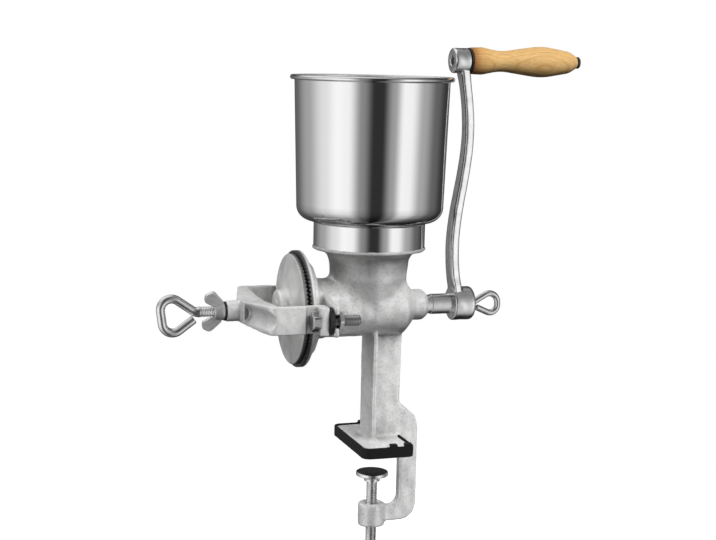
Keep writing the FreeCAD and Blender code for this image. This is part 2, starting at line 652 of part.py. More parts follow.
ball_centre = burr_nose_end - S.ball_stand_out
adjuster_tip = ball_centre - S.ball_reach
seat_apex = ball_radius * math.sqrt(2.0)
auger_shoulder = moving_burr_face + S.burr_neck_length + S.seat_gap
boss_end = S.barrel_end + S.boss_length
crank_hub_end = crank_hub_face + S.crank_hub_length
grip_end = grip_start + S.grip_length
ear_back = -yoke_ear_face - S.yoke_ear_thickness
plate_bottom = table + S.shoe_floor
plate_top = plate_bottom + S.foot_thickness
foot_right = S.foot_left + S.foot_length
clamp_x = S.foot_left + S.foot_length / 2.0
arm_inner = foot_right + S.edge_gap
arm_outer = arm_inner + S.clamp_arm_depth
spigot_radius = S.hopper_neck_radius - S.hopper_wall - S.seat_gap
throat_bore = spigot_radius - S.spigot_wall


# Casting: barrel with its throat, flange, two forked lugs, leg, foot plate and clamp arm.
def mill_body():
    body = new_body("mill_body")
    barrel = outline(body, "barrel", ALONG, [
        (seat, 0),
        (seat, S.flange_radius, S.flange_edge),
        (seat + S.flange_thickness, S.flange_radius, S.flange_edge),
        (seat + S.flange_thickness, barrel_radius, S.flange_fillet),
        (S.barrel_end - S.barrel_taper_length, barrel_radius, S.barrel_shoulder_round),
        (S.barrel_end, boss_radius + S.boss_step, S.boss_step_round),
        (S.barrel_end, boss_radius),
        (boss_end, boss_radius),
        (boss_end + S.boss_taper_length, boss_tip_radius),
        (boss_end + S.boss_taper_length, 0)])
    turn(body, barrel, "H_Axis")

    ring_bottom = S.hopper_seat - S.throat_ring_thickness
    throat = outline(body, "throat", ALONG, [
        (0, 0),
        (barrel_radius, 0),
        (barrel_radius + S.throat_root_swell, S.throat_root_height),
        (throat_waist_radius, S.throat_waist_height, S.throat_waist_round),
        (throat_waist_radius + S.throat_draft, ring_bottom - S.throat_shoulder_drop,
         S.throat_shoulder_round),
        (throat_ring_radius, ring_bottom),
        (throat_ring_radius, S.hopper_seat),
        (spigot_radius, S.hopper_seat),
        (spigot_radius, S.hopper_seat + S.spigot_length),
        (0, S.hopper_seat + S.spigot_length)])
    turn(body, throat, "V_Axis")

    ramp, root = bolt_offset - S.lug_flat, barrel_radius - S.lug_sink
    high, low = S.lug_root_half_height, S.lug_half_height
    end = (lug_reach, low, S.lug_corner)
    quarter = [end, (ramp, low), (root, high)]
    upper = quarter + [(-y, z, *rest) for y, z, *rest in quarter[::-1]]
    lugs = outline(body, "lugs", ACROSS, upper + [(y, -z, *rest) for y, z, *rest in upper[::-1]],
                   offset=-S.lug_face)
    pad(body, lugs, S.lug_thickness)

    flange = outline(body, "leg_flange", ACROSS, [
        (S.leg_width / 2, -S.leg_top), (-S.leg_width / 2, -S.leg_top),
        (-S.leg_width / 2, plate_top), (S.leg_width / 2, plate_top)], offset=S.leg_face)
    pad(body, flange, S.leg_flange_thickness)

    foot = outline(body, "foot_plate", FRONT, [
        (S.foot_left, S.foot_width / 2, S.foot_corner), (foot_right, S.foot_width / 2, S.foot_corner),
        (foot_right, -S.foot_width / 2, S.foot_corner), (S.foot_left, -S.foot_width / 2, S.foot_corner)],
        offset=plate_bottom)
    pad(body, foot, S.foot_thickness)

    web_left = S.leg_face + S.leg_flange_thickness / 2
    jaw_top = table - S.jaw_top
    jaw_bottom = jaw_top - S.jaw_depth
    web = outline(body, "web", ALONG, [
        (web_left, -S.web_top),
        (S.web_reach + S.web_draft, -S.web_top),
        (S.web_reach, table + S.flare_top, S.flare_top_round),
        (arm_outer - S.flare_setback, table + S.flare_bottom + S.flare_corner, S.flare_upper_round),
        (arm_outer, table + S.flare_bottom - S.flare_corner, S.flare_lower_round),
        (arm_outer, jaw_bottom, S.jaw_outer_round),
        (clamp_x, jaw_bottom),
        (clamp_x, jaw_top),
        (arm_inner, jaw_top, S.jaw_inner_round),
        (arm_inner, plate_bottom),
        (web_left, plate_bottom)])
    pad(body, web, S.web_thickness, symmetric=True)
    jaw_boss = circle(body, "jaw_boss", FRONT, clamp_x, 0, jaw_boss_radius,
                      offset=jaw_bottom - S.jaw_boss_rise)
    pad(body, jaw_boss, S.jaw_depth + 2 * S.jaw_boss_rise)

    funnel = outline(body, "funnel", ALONG, [
        (0, S.funnel_floor),
        (S.barrel_bore, S.funnel_floor + S.funnel_rise),
        (throat_waist_radius - S.throat_wall, S.throat_waist_height, S.funnel_waist_round),
        (throat_waist_radius - S.throat_wall + S.funnel_draft, ring_bottom - S.funnel_shoulder_drop,
         S.funnel_shoulder_round),
        (throat_bore, S.hopper_seat + S.funnel_mouth),
        (throat_bore, S.hopper_seat + S.spigot_length + OUT),
        (0, S.hopper_seat + S.spigot_length + OUT)])
    cut_turn(body, funnel, "V_Axis")

    end_wall = S.barrel_end - S.barrel_end_wall
    bore = outline(body, "bore", ALONG, [
        (seat - OUT, 0),
        (seat - OUT, S.barrel_bore),
        (end_wall, S.barrel_bore, S.bore_corner),
        (end_wall, S.shaft_radius + S.running_fit),
        (boss_end + S.boss_taper_length + OUT, S.shaft_radius + S.running_fit),
        (boss_end + S.boss_taper_length + OUT, 0)])
    cut_turn(body, bore, "H_Axis")

    slot_floor, slot_round = bolt_offset - lug_slot / 2, lug_slot / 2 - S.slot_clearance
    for side, name in ((1, "rear_slot"), (-1, "front_slot")):
        slot = outline(body, name, ACROSS, [
            (side * (lug_reach + OUT), lug_slot / 2),
            (side * slot_floor, lug_slot / 2, slot_round),
            (side * slot_floor, -lug_slot / 2, slot_round),
            (side * (lug_reach + OUT), -lug_slot / 2)],
            offset=-S.lug_face - OUT)
        pocket(body, slot, S.lug_thickness + 2 * OUT, backwards=True)

    hole = circle(body, "burr_screw_hole", ACROSS, 0, S.burr_screw_circle,
                  S.burr_screw_radius + S.running_fit, offset=seat - OUT)
    first_hole = pocket(body, hole, S.burr_screw_length, backwards=True)
    patterned(body, [first_hole], "X_Axis", int(S.burr_screw_count.value))

    clamp_hole = circle(body, "clamp_hole", FRONT, clamp_x, 0, S.clamp_rod + S.running_fit,
                        offset=jaw_bottom - S.jaw_boss_rise - OUT)
    bored = pocket(body, clamp_hole, S.jaw_depth + 2 * (S.jaw_boss_rise + OUT), backwards=True)

    leg_back = S.leg_face + S.leg_flange_thickness

    def in_leg_corner(edge):
        span = edge.BoundBox
        inside = (span.XMin > S.leg_face.value - NEAR and span.XMax < foot_right.value + NEAR
                  and max(-span.YMin, span.YMax) < S.leg_width.value / 2 + NEAR)
        on_plate = lies_at(edge, z=plate_top) and inside and not lies_at(edge, x=foot_right)
        return on_plate or lies_at(edge, x=leg_back, y=S.web_thickness / 2)

    def on_leg_side(edge):
        return lies_at(edge, y=S.leg_width / 2) and edge.BoundBox.ZLength > S.foot_width.value / 2

    def on_clamp_arm(edge):
        span = edge.BoundBox
        return (lies_at(edge, y=S.web_thickness / 2) and span.XMin > arm_inner.value - 2 * OUT
                and span.ZMax < plate_bottom.value + S.flare_top.value)

    filled = soften(body, bored, S.leg_fillet, in_leg_corner)
    eased = soften(body, filled, S.leg_edge, on_leg_side)
    soften(body, eased, S.arm_edge, on_clamp_arm)
    return body


# Rubber shoe: a shallow tray round the foot plate, open where the clamp arm passes.
def foot_pad():
    body = new_body("foot_pad")
    gap = S.shoe_gap
    left, right = S.foot_left - S.shoe_wall, foot_right + S.shoe_wall
    half = S.foot_width / 2 + S.shoe_wall
    outer_round = S.foot_corner + S.shoe_wall
    tray = outline(body, "tray", FRONT, [
        (left, half, outer_round), (right, half, outer_round),
        (right, -half, outer_round), (left, -half, outer_round)], offset=table)
    pad(body, tray, S.shoe_height)
    tab_left = right - S.shoe_corner_gap - S.shoe_tab_length
    for side, name in ((1, "rear"), (-1, "front")):
        for step in (0, 1):
            start = tab_left - step * 2 * S.shoe_tab_length
            tab = outline(body, "%s_tab_%d" % (name, step), FRONT, [
                (start, side * half), (start + S.shoe_tab_length, side * half),
                (start + S.shoe_tab_length, side * (half - S.shoe_wall - S.shoe_tab_inset)),
                (start, side * (half - S.shoe_wall - S.shoe_tab_inset))],
                offset=table + S.shoe_height)
            pad(body, tab, S.shoe_tab_height)
    inside = outline(body, "inside", FRONT, [
        (S.foot_left - gap, S.foot_width / 2 + gap, S.foot_corner),
        (foot_right + gap, S.foot_width / 2 + gap, S.foot_corner),
        (foot_right + gap, -S.foot_width / 2 - gap, S.foot_corner),
        (S.foot_left - gap, -S.foot_width / 2 - gap, S.foot_corner)],
        offset=plate_bottom)
    pocket(body, inside, S.shoe_height - S.shoe_floor, backwards=True)
    arm_gap = S.web_thickness / 2 + S.seat_gap
    notch = outline(body, "arm_notch", FRONT, [
        (foot_right - OUT, arm_gap), (right + OUT, arm_gap),
        (right + OUT, -arm_gap), (foot_right - OUT, -arm_gap)], offset=plate_bottom)
    pocket(body, notch, S.shoe_height, backwards=True)
    return body


# Spun steel hopper: straight neck, rounded shoulder, slightly flared wall, rolled rim.
def hopper():
    body = new_body("hopper")
    wall = S.hopper_wall
    bottom = S.hopper_seat
    shoulder = bottom + S.hopper_neck_length
    shoulder_out = shoulder + S.hopper_shoulder_rise
    rim = bottom + S.hopper_length
    neck, base, top = S.hopper_neck_radius, hopper_base_radius, hopper_top_radius
    shell = outline(body, "shell", ALONG, [
        (neck, bottom),
        (neck, shoulder, S.hopper_neck_round),
        (base, shoulder_out, S.hopper_shoulder_round),
        (top, rim),
        (top - wall, rim),
        (base - wall, shoulder_out + wall, S.hopper_shoulder_round - wall),
        (neck - wall, shoulder + wall, S.hopper_neck_round + wall),
        (neck - wall, bottom)])
    turn(body, shell, "V_Axis")
    bead = circle(body, "bead", ALONG, top + S.hopper_bead_radius - BEAD_OVERLAP, rim,
                  S.hopper_bead_radius)
    turn(body, bead, "V_Axis")
    return body


def tooth_gaps(face_x, sign, radius, depth, inner, count, land, phase=0.0):
    """V-shaped gaps whose flanks all point at the burr's centre, so that every flank is flat.

    A gap is as deep as depth at this radius and shallower inwards; it stops at the inner radius.
    sign is +1 where the burr's body lies towards +X of its toothed face.
    """
    gaps = []
    pitch = 2 * math.pi / count
    reach = radius + 2 * OUT
    half = pitch * (1 - land) / 2
    overshoot = 0.15  # how far a gap's open side stands out of the face
    for k in range(count):
        middle = k * pitch + phase

        def spot(r, angle, x):
            return Vector(x, r * math.cos(angle), r * math.sin(angle))

        sections = []
        for r in (inner, reach):
            lift = overshoot * r / radius
            spread = half * (1 + lift / (depth * r / radius))
            bottom = spot(r, middle, face_x + sign * depth * r / radius)
            left = spot(r, middle - spread, face_x - sign * lift)
            right = spot(r, middle + spread, face_x - sign * lift)
            sections.append(Part.makePolygon([bottom, left, right, bottom]))
        gaps.append(Part.makeLoft(sections, True, True))
    return gaps


def toothed(label, blank, face_x, sign, radius, phase):
    """Cuts the ring of fine teeth and the coarse ribs inside it into a burr's flat face."""
    fine_inner = radius - S.tooth_ring_width
    fine = tooth_gaps(face_x.value, sign, radius.value, S.tooth_depth.value, fine_inner.value,
                      int(S.tooth_count.value), S.tooth_land.value, phase)
    coarse_radius = fine_inner - S.breaker_step
    coarse_inner = S.fixed_burr_hole + S.breaker_inset
    coarse = tooth_gaps(face_x.value, sign, coarse_radius.value, S.breaker_depth.value,
                        coarse_inner.value, int(S.breaker_count.value), S.breaker_land.value, phase)
    cutters = doc.addObject("Part::Feature", label + "_tooth_gaps")
    cutters.Shape = Part.makeCompound(fine + coarse)
    bind(cutters, "Placement.Base.z", S.shaft_height)
    cut = doc.addObject("Part::Cut", label)
    cut.Base = blank
    cut.Tool = cutters
    cut.Label = label
    subparts.remove(blank)
    subparts.append(cut)
    return cut


# Fixed burr: a toothed ring screwed to the casting's flange.
def fixed_burr():
    blank = new_body("fixed_burr_blank")
    ring = outline(blank, "ring", ALONG, [
        (seat, S.fixed_burr_hole), (seat, fixed_burr_radius - S.burr_edge),
        (seat - S.burr_edge, fixed_burr_radius), (fixed_burr_face, fixed_burr_radius),
        (fixed_burr_face, S.fixed_burr_hole)])
    turn(blank, ring, "H_Axis")
    head, thread = S.burr_screw_head, S.burr_screw_radius
    gap = S.running_fit
    sink = outline(blank, "screw_sink", ALONG, [
        (fixed_burr_face - OUT, S.burr_screw_circle),
        (fixed_burr_face - OUT, S.burr_screw_circle + head + gap),
        (fixed_burr_face + S.burr_screw_sink, S.burr_screw_circle + head + gap),
        (fixed_burr_face + S.burr_screw_sink + S.burr_screw_cone,
         S.burr_screw_circle + thread + gap),
        (seat + OUT, S.burr_screw_circle + thread + gap),
        (seat + OUT, S.burr_screw_circle)])
    first = blank.newObject("PartDesign::Groove", "screw_sink_turned")
    first.Profile = sink
    axis = new_sketch(blank, "screw_axis", ALONG)
    draw(axis, [(seat, S.burr_screw_circle), (fixed_burr_face, S.burr_screw_circle)], closed=False)
    first.ReferenceAxis = (axis, ["Edge1"])
    first.Angle = 360.0
    patterned(blank, [first], "X_Axis", int(S.burr_screw_count.value))
    return toothed("fixed_burr", blank, fixed_burr_face, 1, fixed_burr_radius, 0.0)


# Three countersunk screws that hold the fixed burr.
def burr_screws():
    body = new_body("burr_screws")
    head, thread = S.burr_screw_head, S.burr_screw_radius
    drop = S.burr_screw_drop
    top = fixed_burr_face + S.burr_screw_sink - drop
    centre = S.burr_screw_circle
    screw = outline(body, "screw", ALONG, [
        (top, centre), (top, centre + head), (top + drop, centre + head),
        (top + drop + S.burr_screw_cone, centre + thread),
        (top + S.burr_screw_length, centre + thread), (top + S.burr_screw_length, centre)])
    axis = new_sketch(body, "screw_axis", ALONG)
    draw(axis, [(top, centre), (top + S.burr_screw_length, centre)], closed=False)
    first = body.newObject("PartDesign::Revolution", "screw_turned")
    first.Profile = screw
    first.ReferenceAxis = (axis, ["Edge1"])
    first.Angle = 360.0
    patterned(body, [first], "X_Axis", int(S.burr_screw_count.value))
    return body


# Rotating burr: domed back, hub with a square socket, nose with the ball's seat.
def rotating_burr():
    blank = new_body("rotating_burr_blank")
    dome_end = moving_burr_back - S.moving_burr_dome
    plate = outline(blank, "plate", ALONG, [
        (moving_burr_face + S.burr_neck_length, 0),
        (moving_burr_face + S.burr_neck_length, S.burr_neck_radius),
        (moving_burr_face, S.burr_neck_radius),
        (moving_burr_face, S.moving_burr_radius),
        (moving_burr_back, S.moving_burr_radius, S.burr_back_round),
        (dome_end, S.burr_hub_radius + S.dome_flat, S.dome_round),
        (dome_end, S.burr_hub_radius, S.burr_hub_fillet),
        (burr_hub_end, S.burr_hub_radius - S.burr_hub_draft, S.burr_hub_edge),
        (burr_hub_end, S.burr_nose_radius),
        (burr_nose_end, S.burr_nose_radius - S.burr_nose_draft),
        (burr_nose_end, 0)])
    turn(blank, plate, "H_Axis")
    # both seats of the ball are cones of 90 degrees
    apex = ball_centre + seat_apex
    ball_seat = outline(blank, "ball_seat", ALONG, [
        (burr_nose_end - OUT, 0),
        (burr_nose_end - OUT, apex - burr_nose_end + OUT),
        (apex, 0)])
    cut_turn(blank, ball_seat, "H_Axis")
    socket = outline(blank, "socket", ACROSS, square(S.tang_width + 2 * S.running_fit),
                     offset=moving_burr_face + S.burr_neck_length + OUT)
    pocket(blank, socket, S.tang_length + OUT + S.seat_gap)
    return toothed("rotating_burr", blank, moving_burr_face, -1, S.moving_burr_radius,
                   math.pi / S.tooth_count.value)


# Auger: square tang, tapered core with a spiral flight, journal, shaft, square end, tapped hole.
def feed_auger():
    body = new_body("feed_auger")
    feed_end = S.barrel_end - S.barrel_end_wall - S.auger_end_gap
    relief_start = boss_end + S.boss_taper_length + S.shaft_neck_start
    collar = S.shaft_radius + S.auger_collar_step
    core = outline(body, "core", ALONG, [
        (auger_shoulder, 0),
        (auger_shoulder, S.auger_core_burr),
        (feed_end - S.auger_core_end, S.auger_core_feed),
        (feed_end - S.auger_collar_cone, S.auger_core_feed),
        (feed_end, collar),
        (feed_end + S.auger_collar_width, collar),
        (feed_end + S.auger_collar_width, S.shaft_radius),
        (relief_start, S.shaft_radius),
        (relief_start, S.shaft_radius - S.shaft_neck_depth),
        (relief_start + S.shaft_neck_length, S.shaft_radius - S.shaft_neck_depth),
        (relief_start + S.shaft_neck_length, S.shaft_radius),
        (crank_hub_face, S.shaft_radius),
        (crank_hub_face, 0)])
    turn(body, core, "H_Axis")
    tang = outline(body, "tang", ACROSS, square(S.tang_width), offset=auger_shoulder + OUT)
    pad(body, tang, S.tang_length + OUT, backwards=True)
    drive = outline(body, "drive_square", ACROSS, square(S.square_width), offset=crank_hub_face - OUT)
    pad(body, drive, S.square_length + OUT)
    thread_hole = circle(body, "thread_hole", ACROSS, 0, 0, S.crank_screw_rod + S.running_fit,
                         offset=crank_hub_face + S.square_length + OUT)
    pocket(body, thread_hole, S.tapped_hole_depth + OUT)
    root, tip = S.auger_flight_root / 2, S.auger_flight_tip / 2
    start = auger_shoulder + root + S.auger_flight_start
    flight = outline(body, "flight", ALONG, [
        (start - root, S.auger_core_feed - OUT), (start - tip, auger_radius),
        (start + tip, auger_radius), (start + root, S.auger_core_feed - OUT)])
    helix = body.newObject("PartDesign::AdditiveHelix", "spiral")
    helix.Profile = flight
    helix.ReferenceAxis = (flight, ["H_Axis"])
    helix.Mode = "pitch-height-angle"
    bind(helix, "Pitch", S.auger_pitch)
    bind(helix, "Height", feed_end - start - S.auger_flight_end)
    helix.Reversed = False
    helix.LeftHanded = False
    return body


# Crank: hub with a square socket, S-shaped arm, eye for the handle.
def crank_arm():
    body = new_body("crank_arm")
    hub = outline(body, "hub", ALONG, [
        (crank_hub_face, 0),
        (crank_hub_face, S.crank_hub_radius, S.crank_hub_edge),
        (crank_hub_end, S.crank_hub_radius, S.crank_hub_round),
        (crank_hub_end, 0)])
    turn(body, hub, "H_Axis")
    top_level = S.crank_throw - S.arm_head
    sections = []
    for k in range(ARM_SECTIONS):
        share = k / (ARM_SECTIONS - 1.0)
        level = S.arm_foot + (top_level - S.arm_foot) * share
        swing = Size(math.cos(math.pi * (level.value - S.arm_low_bend.value)
                              / (S.arm_high_bend.value - S.arm_low_bend.value)),
                     "cos(180 * (%s - %s) / (%s - %s))" % (
                         level.formula, S.arm_low_bend.formula,
                         S.arm_high_bend.formula, S.arm_low_bend.formula))
        middle = arm_middle - S.arm_sway * swing
        half_x = S.arm_thickness / 2
        taper = min(1.0, share / ARM_TAPER_END)
        half_y = (S.arm_root_width + (S.arm_top_width - S.arm_root_width) * taper) / 2
        section = outline(body, "arm_%d" % k, FRONT, [
            (middle - half_x, -half_y, S.arm_corner), (middle + half_x, -half_y, S.arm_corner),
            (middle + half_x, half_y, S.arm_corner), (middle - half_x, half_y, S.arm_corner)],
            offset=level)
        sections.append(section)
    arm = body.newObject("PartDesign::AdditiveLoft", "arm")
    arm.Profile = sections[0]
    arm.Sections = sections[1:]
    arm.Ruled = False
    eye = outline(body, "eye", ALONG, [
        (crank_eye_face, S.crank_throw),
        (crank_eye_face, S.crank_throw + S.crank_eye_radius, S.crank_eye_round),
        (crank_eye_face + S.crank_eye_length, S.crank_throw + S.crank_eye_radius, S.crank_eye_round),
        (crank_eye_face + S.crank_eye_length, S.crank_throw)])
    eye_axis = new_sketch(body, "eye_axis", ALONG)
    draw(eye_axis, [(crank_eye_face, S.crank_throw),
                    (crank_eye_face + S.crank_eye_length, S.crank_throw)], closed=False)
    eye_turned = body.newObject("PartDesign::Revolution", "eye_turned")
    eye_turned.Profile = eye
    eye_turned.ReferenceAxis = (eye_axis, ["Edge1"])
    eye_turned.Angle = 360.0
    socket = outline(body, "socket", ACROSS, square(S.square_width + 2 * S.running_fit),
                     offset=crank_hub_face - OUT)
    pocket(body, socket, S.square_length + OUT + S.seat_gap, backwards=True)
    screw_hole = circle(body, "screw_hole", ACROSS, 0, 0, S.crank_screw_rod + S.crank_screw_gap,
                        offset=crank_hub_face)
    pocket(body, screw_hole, S.crank_hub_length + OUT, backwards=True)
    bolt_hole = circle(body, "bolt_hole", ACROSS, 0, S.crank_throw,
                       S.handle_bolt_radius + S.running_fit, offset=crank_eye_face - OUT)
    pocket(body, bolt_hole, S.crank_eye_length + 2 * OUT, backwards=True)
    mouth = circle(body, "bolt_mouth", ACROSS, 0, S.crank_throw,
                   S.handle_bolt_radius + S.bolt_mouth_step, offset=crank_eye_face - OUT)
    pocket(body, mouth, S.bolt_mouth_depth + OUT, backwards=True)
    return body


def ring_screw(label, axis_sign, shank, rod, root, corners, bend_round, tip_corners, **place):
    """A screw bent from one round rod: a straight shank, then a loop closed back to its root.

    The shank lies along the body's X axis, and corners are those of the loop's path.
    """
    body = new_body(label, **place)
    shank_line = outline(body, "shank", ALONG, tip_corners + [
        (root, shank), (root, 0)])
    turn(body, shank_line, "H_Axis")
    path = new_sketch(body, "loop_path", ALONG)
    start = root - axis_sign * LOOP_OVERLAP
    spots = [(start, 0), (root + axis_sign * LOOP_BEND, 0, bend_round)]
    for out, side, *radius in corners:
        spots.append(tuple([root + axis_sign * out, side] + radius))
    draw(path, spots, closed=False)
    section = circle(body, "loop_section", ACROSS, 0, 0, rod, offset=start)
    loop = body.newObject("PartDesign::AdditivePipe", "loop")
    loop.Profile = section
    doc.recompute()
    loop.Spine = (path, ["Edge%d" % (i + 1) for i in range(len(path.Shape.Edges))])
    return body


# Loop-headed screw that draws the crank onto the shaft's square end.
def crank_screw():
    tip = crank_hub_face + S.square_length - S.crank_screw_reach
    root = crank_hub_end + S.crank_screw_neck
    rod, point = S.crank_screw_rod, S.screw_point
    return ring_screw(
        "crank_screw", 1, rod, rod, root, SMALL_LOOP, S.small_loop_root_round,
        [(tip, 0), (tip, rod - point), (tip + point, rod)])


# Long bolt that the wooden grip turns on, screwed into the crank's eye.
def handle_bolt():
    body = new_body("handle_bolt", z=S.shaft_height + S.crank_throw)
    end = crank_eye_face + S.handle_bolt_setback
    head_start = grip_end + S.seat_gap
    point = S.screw_point
    shank = outline(body, "shank", ALONG, [
        (end, 0), (end, S.handle_bolt_radius - point), (end + point, S.handle_bolt_radius),
        (head_start, S.handle_bolt_radius), (head_start, 0)])
    turn(body, shank, "H_Axis")
    head = outline(body, "head", ACROSS, hexagon(S.handle_bolt_head), offset=head_start)
    pad(body, head, S.handle_bolt_head_height)
    bevel_hexagon(body, "head_bevel", S.handle_bolt_head, head_start + S.handle_bolt_head_height, -1)
    return body


# Plain washer between the crank's eye and the grip.
def grip_washer():
    body = new_body("grip_washer", z=S.shaft_height + S.crank_throw)
    start = crank_eye_face + S.crank_eye_length
    hole = S.handle_bolt_radius + S.running_fit
    ring = outline(body, "ring", ALONG, [
        (start, hole), (start, S.grip_washer_radius),
        (grip_start - S.seat_gap, S.grip_washer_radius), (grip_start - S.seat_gap, hole)])
    turn(body, ring, "H_Axis")
    return body


# Turned wooden grip, free to spin on its bolt.
def handle_grip():
    body = new_body("handle_grip", z=S.shaft_height + S.crank_throw)
    start = grip_start
    hole = S.handle_bolt_radius + 2 * S.running_fit
    wood = outline(body, "wood", ALONG, [
        (start, hole),
        (start, S.grip_collar_radius, S.grip_collar_edge),
        (start + S.grip_collar_length, S.grip_collar_radius + S.grip_collar_swell,
         S.grip_collar_round),
        (start + S.grip_waist_place, S.grip_waist_radius, S.grip_waist_round),
        (start + S.grip_belly_place, S.grip_belly_radius, S.grip_belly_round),
        (start + S.grip_tip_place, S.grip_tip_radius, S.grip_tip_round),
        (grip_end, grip_end_radius),
        (grip_end, hole)])
    turn(body, wood, "H_Axis")
    return body


# Yoke: a boss tapped for the adjusting screw, a wide back, two side plates ending in ears.
def adjuster_yoke():
    body = new_body("adjuster_yoke")
    outer, inner = yoke_plate_outer, yoke_plate_inner
    ear_front = -yoke_ear_face
    recess = bolt_offset - S.bolt_head_flats / 2 - S.seat_gap
    side = [
        (-S.yoke_boss_root, yoke_boss_radius),
        (-S.yoke_back, outer, S.yoke_corner),
        (-yoke_recess_start, outer),
        (-yoke_recess_start + S.recess_slope, recess, S.recess_round),
        (ear_back, recess),
        (ear_back, yoke_ear_reach, S.yoke_ear_corner),
        (ear_front, yoke_ear_reach, S.yoke_ear_corner),
        (ear_front, recess - S.yoke_recess_wall),
        (-yoke_recess_start, recess - S.yoke_recess_wall, S.recess_inner_round),
        (-yoke_recess_start - S.recess_inner_slope, inner, S.recess_inner_round),
        (-S.yoke_back_inner, inner, S.yoke_inner_corner)]
    other = [(x, -y, *rest) for x, y, *rest in side[::-1]]
    plan = outline(body, "plan", FRONT, side + other)
    pad(body, plan, 2 * S.yoke_half_height, symmetric=True)
    boss = circle(body, "boss", ACROSS, 0, 0, yoke_boss_radius, offset=-S.yoke_boss_end)
    pad(body, boss, S.yoke_boss_end - S.yoke_back_inner)
    slope = (S.yoke_boss_root - S.yoke_back) / (outer - yoke_boss_radius)

    def back_face(y):
        return -S.yoke_boss_root + (y - yoke_boss_radius) * slope

    low, high = S.yoke_half_height - S.yoke_neck_drop, S.yoke_half_height
    for up, name in ((1, "top_slope"), (-1, "bottom_slope")):
        slope_cut = outline(body, name, ACROSS, [
            (S.yoke_neck_width, up * (high + OUT)), (S.yoke_neck_width, up * high),
            (yoke_boss_radius, up * low), (-yoke_boss_radius, up * low),
            (-S.yoke_neck_width, up * high), (-S.yoke_neck_width, up * (high + OUT))],
            offset=-S.yoke_boss_root - OUT)
        pocket(body, slope_cut, S.yoke_boss_root - S.yoke_back_inner + 2 * OUT, backwards=True)
    high = yoke_panel_half_height
    for turn_side, name in ((1, "rear_panel"), (-1, "front_panel")):
        ends = []
        near, far = yoke_boss_radius + S.yoke_panel_start, outer + S.yoke_panel_run_out
        for place, y in (("near", near), ("far", far)):
            face = back_face(y)
            outside = face - S.yoke_panel_depth
            # the XZ plane's normal points to -Y
            ends.append(outline(body, "%s_%s" % (name, place), ALONG, [
                (outside, -high), (outside, high), (face, high),
                (face + S.yoke_panel_depth, 0, S.yoke_panel_round), (face, -high)],
                offset=-turn_side * y))
        scoop = body.newObject("PartDesign::SubtractiveLoft", name)
        scoop.Profile = ends[0]
        scoop.Sections = ends[1:]
        scoop.Ruled = True
    thread = circle(body, "thread", ACROSS, 0, 0, S.adjuster_rod + S.running_fit,
                    offset=-S.yoke_boss_end - OUT)
    pocket(body, thread, S.yoke_boss_end - S.yoke_back_inner + 2 * OUT, backwards=True)
    for turn_side, name in ((1, "rear_bolt_hole"), (-1, "front_bolt_hole")):
        hole = circle(body, name, ACROSS, turn_side * bolt_offset, 0,
                      S.bolt_radius + S.running_fit, offset=ear_back - OUT)
        pocket(body, hole, S.yoke_ear_thickness + 2 * OUT, backwards=True)
    return body


def pair(label, build):
    """Two equal pieces on the yoke's two bolt axes, in one node."""
    body = new_body(label)
    features = build(body)
    mirrored(body, features, ALONG)
    return body


# Hexagon bolts through the ears and the forked lugs.
def yoke_bolts():
    def build(body):
        corners = [(y + bolt_offset, z) for y, z in hexagon(S.bolt_head_flats)]
        head = pad(body, outline(body, "head", ACROSS, corners, offset=ear_back), S.bolt_head_height,
                   backwards=True)
        shank = pad(body, circle(body, "shank", ACROSS, bolt_offset, 0, S.bolt_radius,
                                 offset=ear_back - OUT), OUT - ear_back - S.bolt_tail_end)
        bevel = bevel_hexagon(body, "head_bevel", S.bolt_head_flats, ear_back - S.bolt_head_height,
                              1, bolt_offset)
        return [head, shank, bevel]
    return pair("yoke_bolts", build)


# Thick washers that fill the space between ears and lugs.
def yoke_washers():
    def build(body):
        ring = new_sketch(body, "ring", ACROSS, -yoke_ear_face)
        draw_circle(ring, bolt_offset, 0, S.yoke_washer_radius)
        draw_circle(ring, bolt_offset, 0, S.bolt_radius + S.running_fit)
        return [pad(body, ring, yoke_ear_face - S.lug_face)]
    return pair("yoke_washers", build)


# Nuts behind the lugs.
def yoke_nuts():
    def build(body):
        nut = new_sketch(body, "nut", ACROSS, -S.lug_face + S.lug_thickness)
        draw(nut, [(y + bolt_offset, z) for y, z in hexagon(S.bolt_head_flats, 0)])
        draw_circle(nut, bolt_offset, 0, S.bolt_radius + S.running_fit)
        nut_pad = pad(body, nut, S.nut_height)
        nut_end = -S.lug_face + S.lug_thickness + S.nut_height
        return [nut_pad, bevel_hexagon(body, "nut_bevel", S.bolt_head_flats, nut_end, -1, bolt_offset)]
    return pair("yoke_nuts", build)


# Steel ball between the adjusting screw and the rotating burr.
def thrust_ball():
    ball = doc.addObject("Part::Sphere", "thrust_ball")
    ball.Label = "thrust_ball"
    bind(ball, "Radius", ball_radius - S.running_fit)
    bind(ball, "Placement.Base.x", ball_centre)
    bind(ball, "Placement.Base.z", S.shaft_height)
    subparts.append(ball)
    return ball


# Adjusting screw with its loop handle and a cupped tip.
def adjusting_screw():
    rod = S.adjuster_rod
    tip = adjuster_tip
    apex = ball_centre - seat_apex
    return ring_screw(
        "adjusting_screw", -1, rod, S.loop_rod, -S.adjuster_root, LARGE_LOOP, S.loop_root_round,
        [(apex, 0), (tip, tip - apex), (tip, rod)])


# Washer under the wing nut.
def lock_washer():
    body = new_body("lock_washer")
    start = -S.yoke_boss_end - S.lock_washer_thickness
    hole = S.adjuster_rod + S.running_fit
    ring = outline(body, "ring", ALONG, [
        (start, hole), (start, lock_washer_radius),
        (-S.yoke_boss_end, lock_washer_radius), (-S.yoke_boss_end, hole)])
    turn(body, ring, "H_Axis")
    return body


